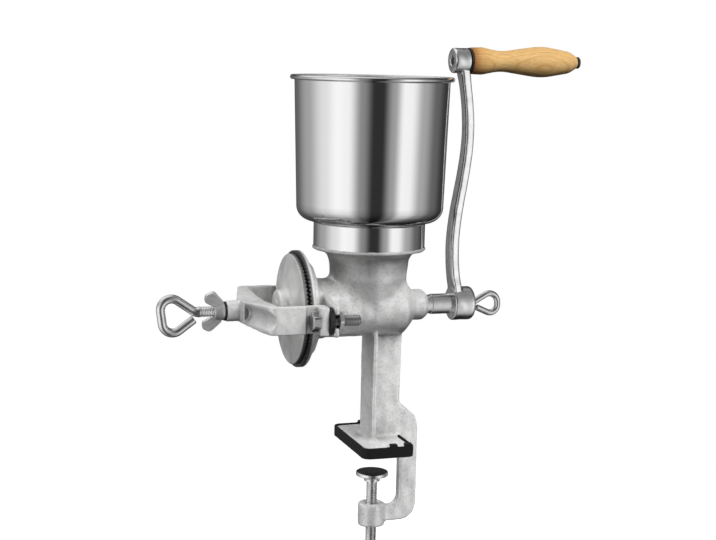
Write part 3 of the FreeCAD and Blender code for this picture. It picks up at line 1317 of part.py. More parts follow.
# Wing nut that locks the adjusting screw.
def lock_wing_nut():
    body = new_body("lock_wing_nut")
    face = -S.yoke_boss_end - S.lock_washer_thickness
    end = face - S.wing_nut_length
    hub = outline(body, "hub", ALONG, [
        (face, 0), (face, wing_nut_radius), (face - S.wing_nut_face, wing_nut_radius),
        (end, wing_nut_tip_radius, S.wing_nut_edge), (end, 0)])
    turn(body, hub, "H_Axis")
    for side, name in ((1, "upper_wing"), (-1, "lower_wing")):
        wing = outline(body, name, ALONG, [
            (face - S.wing_root_gap, side * (wing_nut_radius - S.wing_sink)),
            (face - S.wing_root_gap - S.seat_gap, side * (wing_nut_radius + S.wing_shoulder),
             S.wing_root_round),
            (face - S.wing_sweep + S.wing_front, side * S.wing_span, S.wing_round),
            (face - S.wing_sweep, side * (S.wing_span - S.wing_tip), S.wing_round),
            (face - S.wing_sweep, side * (S.wing_span - S.wing_depth), S.wing_root_round),
            (end, side * (wing_nut_radius - S.wing_sink))])
        pad(body, wing, S.wing_thickness, symmetric=True)
    thread = circle(body, "thread", ACROSS, 0, 0, S.adjuster_rod + S.running_fit, offset=end - OUT)
    pocket(body, thread, S.wing_nut_length + 2 * OUT, backwards=True)
    tilt(body, Vector(1, 0, 0), S.wing_turn)
    return body


# Clamp screw with the same loop handle, turned to point down.
def clamp_screw():
    rod = S.clamp_rod
    top = -S.clamp_gap - S.clamp_pad_floor
    pin = clamp_pin_radius
    body = ring_screw(
        "clamp_screw", 1, rod, S.loop_rod, S.clamp_screw_length, LARGE_LOOP, S.loop_root_round,
        [(0, 0), (0, pin), (S.clamp_pin_length, pin), (S.clamp_pin_length, rod)],
        x=clamp_x, y=0.0, z=top)
    tilt(body, Vector(0, 1, 0), 90)
    return body


# Pressure pad that swivels on the clamp screw's pin.
def clamp_pad():
    body = new_body("clamp_pad", x=clamp_x, z=-S.clamp_gap)
    pin = clamp_pin_radius + S.running_fit
    neck = S.clamp_rod + S.clamp_pad_neck
    pin_seat = S.running_fit - S.clamp_pad_floor
    cup = outline(body, "cup", ALONG, [
        (0, 0), (S.clamp_pad_radius, 0, S.clamp_pad_edge),
        (S.clamp_pad_radius, -S.clamp_pad_rim),
        (neck, -S.clamp_pad_height + S.clamp_pad_neck_length),
        (neck, -S.clamp_pad_height),
        (pin, -S.clamp_pad_height),
        (pin, pin_seat),
        (0, pin_seat)])
    turn(body, cup, "V_Axis")
    return body


for build_subpart in (
        mill_body, foot_pad, hopper, fixed_burr, burr_screws, rotating_burr, feed_auger,
        crank_arm, crank_screw, handle_bolt, grip_washer, handle_grip, adjuster_yoke,
        yoke_bolts, yoke_washers, yoke_nuts, thrust_ball, adjusting_screw, lock_washer,
        lock_wing_nut, clamp_screw, clamp_pad):
    build_subpart()

doc.recompute()

faults = [item.Name + " " + state for item in doc.Objects for state in item.State
          if state in ("Invalid", "Error")]
faults += [part.Label + " has no valid shape" for part in subparts
           if part.Shape.isNull() or not part.Shape.isValid()]
if faults:
    raise RuntimeError("; ".join(faults))

os.makedirs("parts", exist_ok=True)
for part in subparts:
    part.Shape.exportStep(os.path.join("parts", part.Label + ".step"))
    print("%-16s %d solid(s) %9.1f mm3" % (part.Label, len(part.Shape.Solids), part.Shape.Volume))
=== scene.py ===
# %% [markdown]
# # A hand grain mill, finished for the studio
# The model that comes in here is exact and carries every joint, but it is bare. This lesson dresses
# it. Smooth, shiny pieces are worked out again as surfaces, cast pieces are copied and get the soft
# edges that sand and molten iron leave, and every piece gets a finish of its own.
# One rule holds throughout: a piece stays where the frame has it, and rides on its body.

# %% Load the frame
import math

import bmesh
import bpy
import numpy as np
from mathutils import Matrix, Vector


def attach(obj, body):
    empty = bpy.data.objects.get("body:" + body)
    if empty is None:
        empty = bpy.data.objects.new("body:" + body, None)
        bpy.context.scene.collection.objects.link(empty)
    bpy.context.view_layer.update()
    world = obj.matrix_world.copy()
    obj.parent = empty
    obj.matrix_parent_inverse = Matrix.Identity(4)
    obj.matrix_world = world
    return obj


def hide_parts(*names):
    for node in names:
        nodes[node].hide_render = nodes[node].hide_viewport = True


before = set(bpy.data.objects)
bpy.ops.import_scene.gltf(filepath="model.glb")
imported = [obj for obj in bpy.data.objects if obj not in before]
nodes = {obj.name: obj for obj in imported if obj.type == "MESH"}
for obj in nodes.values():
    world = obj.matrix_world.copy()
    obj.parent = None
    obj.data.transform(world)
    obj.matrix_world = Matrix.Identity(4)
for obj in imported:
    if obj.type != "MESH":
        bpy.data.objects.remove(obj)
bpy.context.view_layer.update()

MM = 0.001

# %% [markdown]
# ## The camera
# A product photograph is taken from some way off, with a long lens, so that upright lines stay
# nearly upright. The numbers below were found by matching edges of the mill to its photograph: the
# view goes a little to the right and a little down, and is rolled by about a degree. The rotation is
# built from three arrows, to the right, up, and back towards the lens, which are its columns.

# %% Camera
SHAFT_LEVEL = 131.5  # millimetres over the foot
SHAFT = SHAFT_LEVEL * MM
YAW, PITCH, ROLL = np.radians([18.42, 8.4, 1.25])
DISTANCE = 1.36944
TARGET = np.array([-9.87 * MM, 0.0, SHAFT + 33.73 * MM])
LENS, SENSOR = 75.54, 36.0
NEAREST, FURTHEST = 0.05, 20.0

look = np.array([math.sin(YAW) * math.cos(PITCH), math.cos(YAW) * math.cos(PITCH), -math.sin(PITCH)])
level_right = np.array([math.cos(YAW), -math.sin(YAW), 0.0])
level_up = np.cross(level_right, look)
right = level_right * math.cos(ROLL) + level_up * math.sin(ROLL)
up = level_up * math.cos(ROLL) - level_right * math.sin(ROLL)
camera_turn = Matrix(np.column_stack([right, up, -look]).tolist())

camera = bpy.data.objects.new("camera", bpy.data.cameras.new("camera"))
bpy.context.scene.collection.objects.link(camera)
camera.data.lens, camera.data.sensor_width = LENS, SENSOR
camera.matrix_world = Matrix.Translation(Vector(TARGET - look * DISTANCE)) @ camera_turn.to_4x4()
camera.data.clip_start, camera.data.clip_end = NEAREST, FURTHEST
bpy.context.scene.camera = camera
bpy.context.scene.view_settings.view_transform = "Standard"
print("camera at", [round(v, 3) for v in camera.location])

# %% [markdown]
# ## A small kit for webs of nodes
# A finish is a web of nodes, and a web is hard to read as a list of clicks. The first class below
# keeps it short: each call adds one node, and an input takes either a number or the output of
# another node. It serves the room's light as well as the finishes. The second class adds what nearly
# every finish needs: the piece's own coordinates, a noise, a noise drawn out into streaks, a share
# that runs along the piece, and a bump.

# %% Web of nodes
class Web:
    """The nodes of one tree, added one at a time."""

    def __init__(self, tree):
        self.tree = tree

    def add(self, kind, inputs=(), **settings):
        """A new node. inputs maps a socket's name or number to a value or to another socket."""
        made = self.tree.nodes.new("ShaderNode" + kind)
        for name, value in settings.items():
            setattr(made, name, value)
        for key, value in dict(inputs).items():
            self.feed(made.inputs[key], value)
        return made

    def feed(self, socket, value):
        """Links a socket to another one, or sets its value."""
        if isinstance(value, bpy.types.NodeSocket):
            self.tree.links.new(value, socket)
        else:
            socket.default_value = value

    def ramp(self, factor, *stops, eased=False):
        """Stops are (place from 0 to 1, grey value or colour)."""
        made = self.add("ValToRGB", {0: factor})
        if eased:
            made.color_ramp.interpolation = "EASE"
        elements = made.color_ramp.elements
        for k, (place, colour) in enumerate(stops):
            element = elements[k] if k < 2 else elements.new(place)
            element.position = place
            element.color = (*colour[:3], 1.0) if hasattr(colour, "__len__") else grey(colour)
        return made.outputs[0]

    def math(self, operation, a, b=0.0, c=0.0):
        return self.add("Math", {0: a, 1: b, 2: c}, operation=operation).outputs[0]

    def spread(self, value, start, end, **settings):
        """A value stretched so that start becomes 0 and end becomes 1."""
        sockets = {"Value": value, "From Min": start, "From Max": end}
        return self.add("MapRange", sockets, **settings).outputs[0]

    def part(self, vector, axis):
        """One of the three numbers of a vector."""
        return self.add("SeparateXYZ", {0: vector}).outputs[axis]

    def facing(self, vector, arrow):
        """How far a vector goes along an arrow."""
        return self.add("VectorMath", {0: vector, 1: arrow}, operation="DOT_PRODUCT").outputs["Value"]

    def distance(self, vector, axes):
        """The length of a vector, with 1 for each axis that counts and 0 for the others."""
        flat = self.add("VectorMath", {0: vector, 1: axes}, operation="MULTIPLY").outputs[0]
        return self.add("VectorMath", {0: flat}, operation="LENGTH").outputs["Value"]

    def blend(self, factor, a, b, mode="MIX"):
        """Two colours mixed by a factor."""
        made = self.add("Mix", {"Factor": factor, 6: a, 7: b}, data_type="RGBA", blend_type=mode)
        return made.outputs[2]

    def light(self, kind, colour, strength):
        """Light from a surface, kind Emission, or from the room, kind Background."""
        return self.add(kind, {"Color": colour, "Strength": strength}).outputs[0]

    def either(self, factor, a, b):
        """One shader turned into another by a factor."""
        return self.add("MixShader", {0: factor, 1: a, 2: b}).outputs[0]


def grey(value, tint=(1.0, 1.0, 1.0)):
    return tuple(value * t for t in tint) + (1.0,)


WHITE = grey(1.0)
print("web kit ready")


# %% Finish kit
class Finish(Web):
    """A material that is built one node at a time, round the usual surface shader."""

    def __init__(self, name, **settings):
        self.material = bpy.data.materials.new(name)
        self.material.use_nodes = True
        super().__init__(self.material.node_tree)
        self.shader = self.tree.nodes["Principled BSDF"]
        self.place = self.add("TexCoord").outputs["Object"]
        self.set(**settings)

    def set(self, **settings):
        """Sets sockets of the surface shader; an underscore in a name stands for a space."""
        for name, value in settings.items():
            self.feed(self.shader.inputs[name.replace("_", " ")], value)

    def mapped(self, scale, turned=(0, 0, 0), centre=(0, 0, 0)):
        """The piece's own coordinates, centred, turned and stretched."""
        sockets = {"Vector": self.place, "Location": centre, "Rotation": turned, "Scale": scale}
        return self.add("Mapping", sockets).outputs[0]

    def noise(self, scale, detail=3.0, place=None, distortion=0.0):
        """Clouds from 0 to 1, about one over their scale in metres across."""
        sockets = {"Vector": place or self.place, "Scale": scale, "Detail": detail,
                   "Distortion": distortion}
        return self.add("TexNoise", sockets).outputs[0]

    def streaks(self, scale, turned=(0, 0, 0), detail=3.0):
        """Noise with a scale of its own along each axis, which draws its clouds out."""
        return self.noise(1.0, detail, self.mapped(scale, turned))

    def along(self, axis, start, end):
        """A share that runs from 0 to 1 between two places on one axis, in metres."""
        return self.spread(self.part(self.place, axis), start, end)

    def bump(self, height, depth, strength=1.0, below=None):
        """Bumps of this depth in metres, on top of another bump."""
        made = self.add("Bump", {"Height": height, "Distance": depth, "Strength": strength})
        if below is not None:
            self.feed(made.inputs["Normal"], below)
        return made.outputs[0]


print("finish kit ready")

# %% [markdown]
# ## The studio
# Polished steel has no colour of its own: it shows the room. A photographer who shoots such a piece
# stands white screens and black flags round it, and the flags draw the dark stripes that make a
# round wall look round. Here the room is painted by direction. Rays that bounce off metal meet a
# ring of bright and dark panels, which are brightest at about the mill's level, under a dim ceiling
# with one large pale screen, up behind the mill and to the left. Rays that light matt surfaces meet
# a faint even light, and rays straight from the camera meet plain white.

# %% Directions in the room
world = bpy.data.worlds.new("studio")
bpy.context.scene.world = world
world.use_nodes = True
world.node_tree.nodes.clear()
room = Web(world.node_tree)

ray = room.add("TexCoord").outputs["Generated"]
forward = room.facing(ray, (-math.sin(YAW), -math.cos(YAW), 0))
sideways = room.facing(ray, (math.cos(YAW), -math.sin(YAW), 0))
bearing = room.math("ARCTAN2", sideways, forward)
share_round = room.math("ADD", room.math("DIVIDE", bearing, 2 * math.pi), 0.5)
share_up = room.math("ADD", room.math("MULTIPLY", room.part(ray, "Z"), 0.5), 0.5)
print("a room of", len(world.node_tree.nodes), "nodes so far")

# %% Screens and flags
# Bearings in degrees round the mill from the camera's side, and how bright the panel there is.
PANELS = [(-180, 0.05), (-150, 0.12), (-110, 0.38), (-75, 0.78), (-52, 1.00), (-36, 0.95),
          (-14, 0.26), (4, 0.03), (16, 0.03), (34, 0.36), (50, 0.97), (60, 0.95), (84, 0.40),
          (112, 0.13), (140, 0.04), (180, 0.04)]
# Shares from straight down, 0, over level, 0.5, to straight up, 1, and how much of the panels'
# brightness is left there.
LEVELS = [(0.0, 0.30), (0.10, 0.48), (0.25, 0.85), (0.36, 1.0), (0.52, 1.0), (0.66, 0.62),
          (0.85, 0.30), (1.0, 0.20)]
CEILING, CEILING_FROM, CEILING_FULL = grey(0.22), 0.78, 0.95
SCREEN_WAY = (-0.35, 0.35, 0.87)
SCREEN_EDGE, SCREEN_FULL, SCREEN_TONE = 0.64, 0.90, 0.85

around = room.ramp(share_round, *[((angle + 180) / 360, tone) for angle, tone in PANELS], eased=True)
stacked = room.ramp(share_up, *LEVELS, eased=True)
walls = room.blend(1.0, around, stacked, "MULTIPLY")
overhead = room.ramp(share_up, (CEILING_FROM, 0.0), (CEILING_FULL, 1.0), eased=True)
screen = room.ramp(room.facing(ray, SCREEN_WAY), (SCREEN_EDGE, 0.0), (SCREEN_FULL, SCREEN_TONE),
                   eased=True)
panels = room.blend(1.0, room.blend(overhead, walls, CEILING), screen, "LIGHTEN")
print(len(PANELS), "panels round the mill")

# %% Light for each kind of ray
AMBIENT, PANEL_LIGHT, BACKDROP = 0.08, 1.15, 1.0
rays = room.add("LightPath").outputs
matt_light = room.light("Background", WHITE, AMBIENT)
panel_light = room.light("Background", panels, PANEL_LIGHT)
plain_white = room.light("Background", WHITE, BACKDROP)
by_metal = room.either(rays["Is Glossy Ray"], matt_light, panel_light)
straight = room.math("MAXIMUM", rays["Is Camera Ray"], rays["Is Transmission Ray"])
room.add("OutputWorld", {"Surface": room.either(straight, by_metal, plain_white)})
print("light from the room:", AMBIENT, "on matt surfaces,", PANEL_LIGHT, "on metal")

# %% [markdown]
# ## Lamps
# Soft light comes from large lamps. The key hangs above and in front, a weaker one stands behind to
# the left, a low one lights the left flanks, and one behind to the right keeps the far side from
# going black. A grey card beside the mill then renders about as bright as it is. Metal doesn't show
# these lamps: their screens are already painted on the walls of the room.

# %% Lamps
LAMPS = [  # name, place, size, watts
    ("key", (0.45, -1.08, 1.20), 0.9, 32.0),
    ("back_left", (-0.84, 1.00, 1.07), 0.9, 14.0),
    ("low_left", (-1.59, 0.0, 0.29), 0.9, 7.0),
    ("back_right", (1.25, 1.10, 0.75), 1.2, 11.0),
]
LAMPS_AIM = Vector((0, 0, 0.15))
for name, stand, size, watts in LAMPS:
    lamp = bpy.data.objects.new(name, bpy.data.lights.new(name, "AREA"))
    lamp.data.size, lamp.data.energy = size, watts
    lamp.location = stand
    lamp.rotation_euler = (LAMPS_AIM - Vector(stand)).to_track_quat("-Z", "Y").to_euler()
    lamp.visible_camera = lamp.visible_glossy = False
    bpy.context.scene.collection.objects.link(lamp)
print(len(LAMPS), "lamps")

# %% [markdown]
# ## Floor
# The floor lies just below the clamp screw at its lowest. It is pale and catches the shadow near the
# mill. Further out, where the camera sees it, it turns step by step into plain white paper, as a
# sheet does that curves up behind the object, so no horizon shows. To matt surfaces it is nearly
# black, so that the mill's undersides fall into shade, and metal looks through it at the room.

# %% Floor
FLOOR_LEVEL, FLOOR_HALF = -0.170, 8.0
WHITE_FROM, WHITE_AT = 0.22, 0.75
SEEN_TONE, HIDDEN_TONE, FLOOR_GLOW = 0.82, 0.05, 0.40

corners = np.array([(-1, -1), (1, -1), (1, 1), (-1, 1)]) * FLOOR_HALF
floor_mesh = bpy.data.meshes.new("floor")
floor_mesh.from_pydata(np.column_stack([corners, np.full(4, FLOOR_LEVEL)]).tolist(), [], [(0, 1, 2, 3)])
floor = bpy.data.objects.new("floor", floor_mesh)
bpy.context.scene.collection.objects.link(floor)

paper = Finish("paper_floor", Roughness=0.9, Specular_IOR_Level=0.1)
rays = paper.add("LightPath").outputs
to_the_eye = rays["Is Camera Ray"]
paper.set(Base_Color=paper.blend(to_the_eye, grey(HIDDEN_TONE), grey(SEEN_TONE)))
plain = paper.shader.outputs[0]
lit = paper.add("AddShader", {0: plain, 1: paper.light("Emission", WHITE, FLOOR_GLOW)}).outputs[0]
from_mill = paper.distance(paper.place, (1.0, 1.0, 0.0))
fade = paper.spread(from_mill, WHITE_FROM, WHITE_AT, interpolation_type="SMOOTHSTEP")
faded = paper.either(fade, lit, paper.light("Emission", WHITE, 1.0))
seen = paper.either(to_the_eye, plain, faded)
clear = paper.add("BsdfTransparent").outputs[0]
surface = paper.tree.nodes["Material Output"].inputs["Surface"]
paper.feed(surface, paper.either(rays["Is Glossy Ray"], seen, clear))
floor_mesh.materials.append(paper.material)
print("floor", FLOOR_LEVEL / MM, "mm")

# %% [markdown]
# ## Finishes
# Each finish starts from what the real surface went through. Sand casting leaves a fine, even
# grain and shallow hollows, and tinning covers it in a soft grey skin. On top of that, shade is
# painted into the colour: painted shade in the corners, and on the body a painted shade by height.
# How deep a point lies in a corner is told by the rays that leave it: the more of them meet the
# piece itself within a short reach, the darker the point is painted. All numbers are at the size of
# the real marks: a noise of scale 900 has grains of about a millimetre, because coordinates are
# in metres.

# %% Cast iron with a tinned skin
PAINTED_SHADE_TOP = 200 * MM
EVEN = ((0.0, 1.0), (1.0, 1.0))


def casting(name, tone, rough, grain=0.00012, spots=0.78, painted_shade=EVEN, reach=24, hollow_shade=0.40):
    """Matt silver grey: cloudy tone, fine mottling, sandy grain, shallow dents, and painted shade in
    hollows.

    painted_shade are (share, factor) pairs from the foot's level up to PAINTED_SHADE_TOP, a painted
    shade by height. reach is the length in millimetres over which rays look for the piece itself,
    and hollow_shade is the factor of painted shade deep in a hollow.
    """
    cast = Finish(name, Metallic=0.50, Specular_IOR_Level=0.4)
    clouds = cast.noise(38, 4.0, distortion=0.4)
    mottling = cast.ramp(cast.noise(420, 5.0), (0.34, spots), (0.52, 1.0))
    tones = cast.ramp(clouds, (0.30, grey(tone * 0.84)), (0.70, grey(tone * 1.08, (1.0, 1.0, 0.99))))
    # Painted shade: the colour is multiplied by a factor that changes with height.
    tones = cast.blend(1.0, tones, cast.ramp(cast.along("Z", 0.0, PAINTED_SHADE_TOP), *painted_shade), "MULTIPLY")
    # Painted shade: darker where rays from a point soon meet the piece itself, deep in its hollows.
    free = cast.add("AmbientOcclusion", {"Distance": reach * MM}, only_local=True, samples=8)
    tones = cast.blend(1.0, tones, cast.ramp(free.outputs["AO"], (0.30, hollow_shade), (0.92, 1.0)), "MULTIPLY")
    worn = cast.ramp(cast.noise(130, 4.0), (0.3, rough - 0.07), (0.7, rough + 0.08))
    cast.set(Base_Color=cast.blend(0.8, tones, mottling, "MULTIPLY"), Roughness=worn)
    dents = cast.bump(clouds, 0.0012, 0.30)
    cast.set(Normal=cast.bump(cast.noise(1500, 2.0), grain, 0.55, dents))
    return cast.material


# Painted shade by height: darker at the barrel's underside and at the neck under the hopper.
BODY_PAINTED_SHADE = [(0.0, 1.0), (0.48, 1.0), (0.58, 0.74), (0.66, 0.86), (0.76, 0.90), (0.84, 0.66),
               (1.0, 0.60)]
cast_skin = casting("tinned_casting", 1.0, 0.42, painted_shade=BODY_PAINTED_SHADE)
yoke_skin = casting("tumbled_casting", 0.90, 0.46, grain=0.00005, spots=0.90, reach=30, hollow_shade=0.20)
print("castings ready")

# %% [markdown]
# Spun sheet steel keeps faint rings from the tool that pressed it over its form. They run round the
# hopper's axis, so the noise is stretched: slow in x and y, and very fast in z. No seam shows, as it
# would if the pattern was wrapped by angle. On the rounded shoulder the colour is painted darker:
# painted shade, where the shoulder faces down. Inside, where no buffing wheel goes, it keeps a satin
# skin.

# %% Polished and satin sheet steel
SHOULDER_FROM, SHOULDER_TO = 205 * MM, 235 * MM
SHOULDER_PAINTED_SHADE = [(0.0, 0.80), (0.12, 0.80), (0.20, 0.30), (0.36, 0.36), (0.58, 0.62), (0.74, 0.80)]

sheet = Finish("polished_sheet", Metallic=1.0)
# Painted shade: the sheet is darker on the rounded shoulder, where it faces down.
sheet.set(Base_Color=sheet.ramp(sheet.along("Z", SHOULDER_FROM, SHOULDER_TO), *SHOULDER_PAINTED_SHADE))
rings = sheet.streaks((9, 9, 2600))
smears = sheet.streaks((24, 24, 9), detail=4.0)
sheet.set(Roughness=sheet.math("MULTIPLY_ADD", smears, 0.07, sheet.math("MULTIPLY", rings, 0.08)))
sheet.set(Normal=sheet.bump(rings, 0.00001, 0.18))
polished_sheet = sheet.material

satin = Finish("satin_sheet", Metallic=0.78, Base_Color=grey(0.80))
rings = satin.streaks((9, 9, 1500))
satin.set(Roughness=satin.math("MULTIPLY_ADD", rings, 0.16, 0.26))
satin.set(Normal=satin.bump(rings, 0.00002, 0.3))
satin_sheet = satin.material
print("sheet ready, polished outside and satin inside")

# %% [markdown]
# Screws, rods and the wing nut are plated. Plating follows the metal below, dulls in a cloudy way,
# and picks up fine scratches that run in every direction.

# %% Plated and polished steel
SCRATCHES = (500, 2600, 900), (0.3, 0.2, 0.7)


def plated(name, tone, rough, scratches=0.4, metallic=1.0):
    """Cloudy tone and roughness round the two numbers given, and scratches of this strength."""
    plate = Finish(name, Metallic=metallic)
    clouds = plate.noise(120, 4.0, distortion=0.6)
    plate.set(Base_Color=plate.ramp(clouds, (0.3, grey(tone * 0.84)), (0.7, grey(tone * 1.05))))
    plate.set(Roughness=plate.math("MULTIPLY_ADD", clouds, 0.16, rough - 0.08))
    plate.set(Normal=plate.bump(plate.streaks(*SCRATCHES), 0.00002, scratches))
    return plate.material


plated_steel = plated("plated_steel", 0.86, 0.28)
bright_steel = plated("bright_steel", 0.80, 0.10, 0.1)
crank_skin = plated("polished_crank", 0.92, 0.22, 0.5)
turned_shaft = plated("turned_shaft", 0.92, 0.28, 0.5)
bolt_skin = plated("bolt_skin", 0.62, 0.24)
wing_skin = plated("wing_nut_skin", 0.80, 0.42, 0.6, 0.80)
print("metals ready")

# %% [markdown]
# The burrs are ground iron, cloudy and half matt. Between their teeth the colour is painted dark:
# painted shade, with some dust. The teeth lie between two planes across the shaft, so a ramp along x
# finds the place.

# %% Ground iron with dark tooth gaps
TEETH_FROM, TEETH_TO = -74.2 * MM, -66.0 * MM
TEETH_TONES = [(0.0, 1.0), (0.10, 0.30), (0.55, 0.10), (0.86, 0.22), (0.97, 1.0)]

iron = Finish("ground_iron", Specular_IOR_Level=0.4, Metallic=0.45)
clouds = iron.noise(45, 5.0, distortion=0.8)
iron_tone = iron.ramp(clouds, (0.30, (0.66, 0.66, 0.655)), (0.68, (0.90, 0.90, 0.89)))
# Painted shade between the teeth, with some dust.
tooth_shade = iron.ramp(iron.along("X", TEETH_FROM, TEETH_TO), *TEETH_TONES)
iron.set(Base_Color=iron.blend(1.0, iron_tone, tooth_shade, "MULTIPLY"))
iron.set(Roughness=iron.math("MULTIPLY_ADD", clouds, 0.25, 0.30))
iron.set(Normal=iron.bump(iron.streaks(*SCRATCHES), 0.00003, 0.5))
ground_iron = iron.material
print("ground iron ready")

# %% [markdown]
# Black rubber and black oxide are both nearly black, but rubber scatters what little light it
# returns, and shows a fine pebbled skin from its mould.

# %% Rubber and blackened steel
rubber = Finish("black_rubber", Base_Color=grey(0.010), Roughness=0.60, Specular_IOR_Level=0.25)
rubber.set(Normal=rubber.bump(rubber.noise(1400, 2.0), 0.00010, 0.5))
black_rubber = rubber.material

oxide = Finish("blackened_steel", Metallic=0.3, Roughness=0.5)
oxide.set(Base_Color=oxide.ramp(oxide.noise(300, 3.0), (0.35, 0.012), (0.70, 0.045)))
oxide.set(Normal=oxide.bump(oxide.noise(900, 2.0), 0.00004, 0.4))
blackened_steel = oxide.material
print("rubber and black steel ready")

# %% [markdown]
# The grip is turned from a pale, straight-grained wood and lacquered. Growth rings are cylinders
# round the tree's heart, which lies beside the grip, so a turned shape cuts them into long flames.
# Distance from that heart gives the rings, a stretched noise gives the pores, and the colour grows
# darker towards the inner end, by the crank's eye.

# %% Lacquered wood
THROW = 224.5  # millimetres from the shaft to the grip's axis
GRIP_AXIS = (SHAFT_LEVEL + THROW) * MM
HEART_TURN, HEART_PLACE = (0.02, 0.015, 0.0), (0.004, -0.034, -GRIP_AXIS - 0.018)
RINGS_PER_METRE, WANDER = 720.0, 1.6
DARK_END_FROM, DARK_END_TO = 93.3 * MM, 113.3 * MM
RING_TONES = [(0.0, (0.63, 0.40, 0.165)), (0.7, (0.61, 0.38, 0.15)), (1.0, (0.54, 0.31, 0.11))]
DARK_END_TONES = [(0.0, (0.42, 0.28, 0.18)), (0.40, (0.88, 0.80, 0.72)), (1.0, (1, 1, 1))]

wood = Finish("lacquered_wood", Coat_Weight=0.15, Coat_Roughness=0.25, Specular_IOR_Level=0.3)
from_heart = wood.distance(wood.mapped((0.10, 1.0, 1.0), HEART_TURN, HEART_PLACE), (0.0, 1.0, 1.0))
wander = wood.math("MULTIPLY", wood.streaks((10, 45, 45)), WANDER)
ring_wave = wood.math("PINGPONG", wood.math("MULTIPLY_ADD", from_heart, RINGS_PER_METRE, wander), 1.0)
ring_tone = wood.ramp(ring_wave, *RING_TONES)
pores = wood.ramp(wood.streaks((26, 1500, 1500)), (0.34, 0.74), (0.56, 1.0))
# Darker towards the inner end of the grip.
inner_end_dark = wood.ramp(wood.along("X", DARK_END_FROM, DARK_END_TO), *DARK_END_TONES)
wood.set(Base_Color=wood.blend(1.0, wood.blend(0.85, ring_tone, pores, "MULTIPLY"), inner_end_dark, "MULTIPLY"))
wood.set(Roughness=wood.ramp(ring_wave, (0.0, 0.42), (1.0, 0.55)))
wood.set(Normal=wood.bump(pores, 0.00005, 0.35))
lacquered_wood = wood.material
print("wood ready")

# %% [markdown]
# ## A small kit for surfaces
# A surface is a grid of points: one parameter runs along the piece, and the other runs round it.
# Everything is worked out as whole arrays, in millimetres. The first tools make a path: rounded
# corners, its length up to each point, and points at wanted lengths along it.

# %% Paths
def rounded(corners, closed=False, steps=8):
    """A path through corners given as (..., radius), with an arc at each corner that has a radius.

    With half the corner's angle h, the arc leaves both sides at radius / tan(h) from the corner,
    and its centre lies radius / sin(h) along the line that halves the corner. Its points swing from
    the first direction a to the last b: (a sin((1 - t) w) + b sin(t w)) / sin(w), w the angle between.
    """
    spots = np.array([c[:-1] for c in corners], float)
    radii = [c[-1] for c in corners]
    parts = []
    for k, radius in enumerate(radii):
        corner = spots[k]
        if radius <= 0 or (not closed and k in (0, len(radii) - 1)):
            parts.append(corner[None])
            continue
        before = spots[k - 1] - corner
        after = spots[(k + 1) % len(spots)] - corner
        before, after = before / np.linalg.norm(before), after / np.linalg.norm(after)
        half = math.acos(np.clip(before @ after, -1, 1)) / 2
        middle = (before + after) / np.linalg.norm(before + after)
        centre = corner + middle * radius / math.sin(half)
        first = corner + before * radius / math.tan(half) - centre
        last = corner + after * radius / math.tan(half) - centre
        swing = math.pi - 2 * half
        t = np.linspace(0, 1, max(3, int(steps * swing / (math.pi / 2)) + 2))[:, None]
        swung = first * np.sin((1 - t) * swing) + last * np.sin(t * swing)
        parts.append(centre + swung / math.sin(swing))
    return np.vstack(parts)


def lengths(path):
    """The length of the path up to each of its points."""
    return np.concatenate([[0], np.cumsum(np.linalg.norm(np.diff(path, axis=0), axis=1))])


def at(path, wanted):
    """The points of a path at these lengths along it."""
    return np.column_stack([np.interp(wanted, lengths(path), path[:, k]) for k in range(path.shape[1])])


print("a rounded corner has", len(rounded([(0, 0, 0), (5, 0, 2), (5, 5, 0)])) - 2, "points")

# %% [markdown]
# The next tools make the grid. A lathe turns a profile about an axis, a bent rod carries a round
# section along its path, and a skin of four-sided faces goes over either.

# %% Grids and skins
def once_round(columns):
    """Even angles once round a ring."""
    return np.arange(columns) * 2 * math.pi / columns


def turned(profile, axis="x", centre=(0, 0, 0), columns=128):
    """A profile of (along, radius) turned about X or Z: the two other coordinates are
    radius * cos(angle) and radius * sin(angle). radius may also be a grid, rows x columns."""
    along, radius = profile
    angle = once_round(columns)
    radius = np.asarray(radius, float)
    radius = radius if radius.ndim == 2 else radius[:, None] * np.ones(columns)
    along = np.asarray(along, float)[:, None] * np.ones(columns)
    u, v = radius * np.cos(angle), radius * np.sin(angle)
    return np.stack([along, u, v] if axis == "x" else [u, v, along], -1) + np.array(centre)


def carried(path, radius, side, columns):
    """A round section carried along a flat path. side is the arrow square to the path's plane.

    At each point the ring is side x tangent times cos(angle), plus side times sin(angle), times
    the radius, which is a grid of rows x columns, so that it can hold a thread.
    """
    tangent = np.gradient(path, axis=0)
    tangent /= np.linalg.norm(tangent, axis=1)[:, None]
    across = np.cross(side, tangent)
    angle = once_round(columns)[:, None]
    return path[:, None] + (across[:, None] * np.cos(angle) + side * np.sin(angle)) * radius[..., None]


def skin(grid, closed=False):
    """Points and faces over a grid whose columns close into rings.

    With closed the last row joins the first. Otherwise each end gets a middle point and a fan.
    """
    rows, columns = grid.shape[:2]
    row, column = np.meshgrid(np.arange(rows if closed else rows - 1), np.arange(columns), indexing="ij")

    def corner(down, over):
        return ((row + down) % rows * columns + (column + over) % columns).ravel()

    faces = np.stack([corner(0, 0), corner(0, 1), corner(1, 1), corner(1, 0)], 1).tolist()
    points = grid.reshape(-1, 3)
    if not closed:
        ring = np.arange(columns)
        after, start, first = (ring + 1) % columns, (rows - 1) * columns, rows * columns
        points = np.vstack([points, grid[0].mean(0), grid[-1].mean(0)])
        faces += np.stack([after, ring, np.full(columns, first)], 1).tolist()
        faces += np.stack([ring + start, after + start, np.full(columns, first + 1)], 1).tolist()
    return points, faces


print("a ring of", len(once_round(96)), "columns turns", round(360 / 96, 2), "degrees at each")

# %% [markdown]
# A skin becomes a mesh in metres, and the mesh becomes an object that rides on its body in a node's
# place. Where two faces turn sharply the edge stays hard, and everywhere else it is shaded smooth.

# %% Into the scene
def smoothed(mesh):
    mesh.polygons.foreach_set("use_smooth", np.ones(len(mesh.polygons), bool))


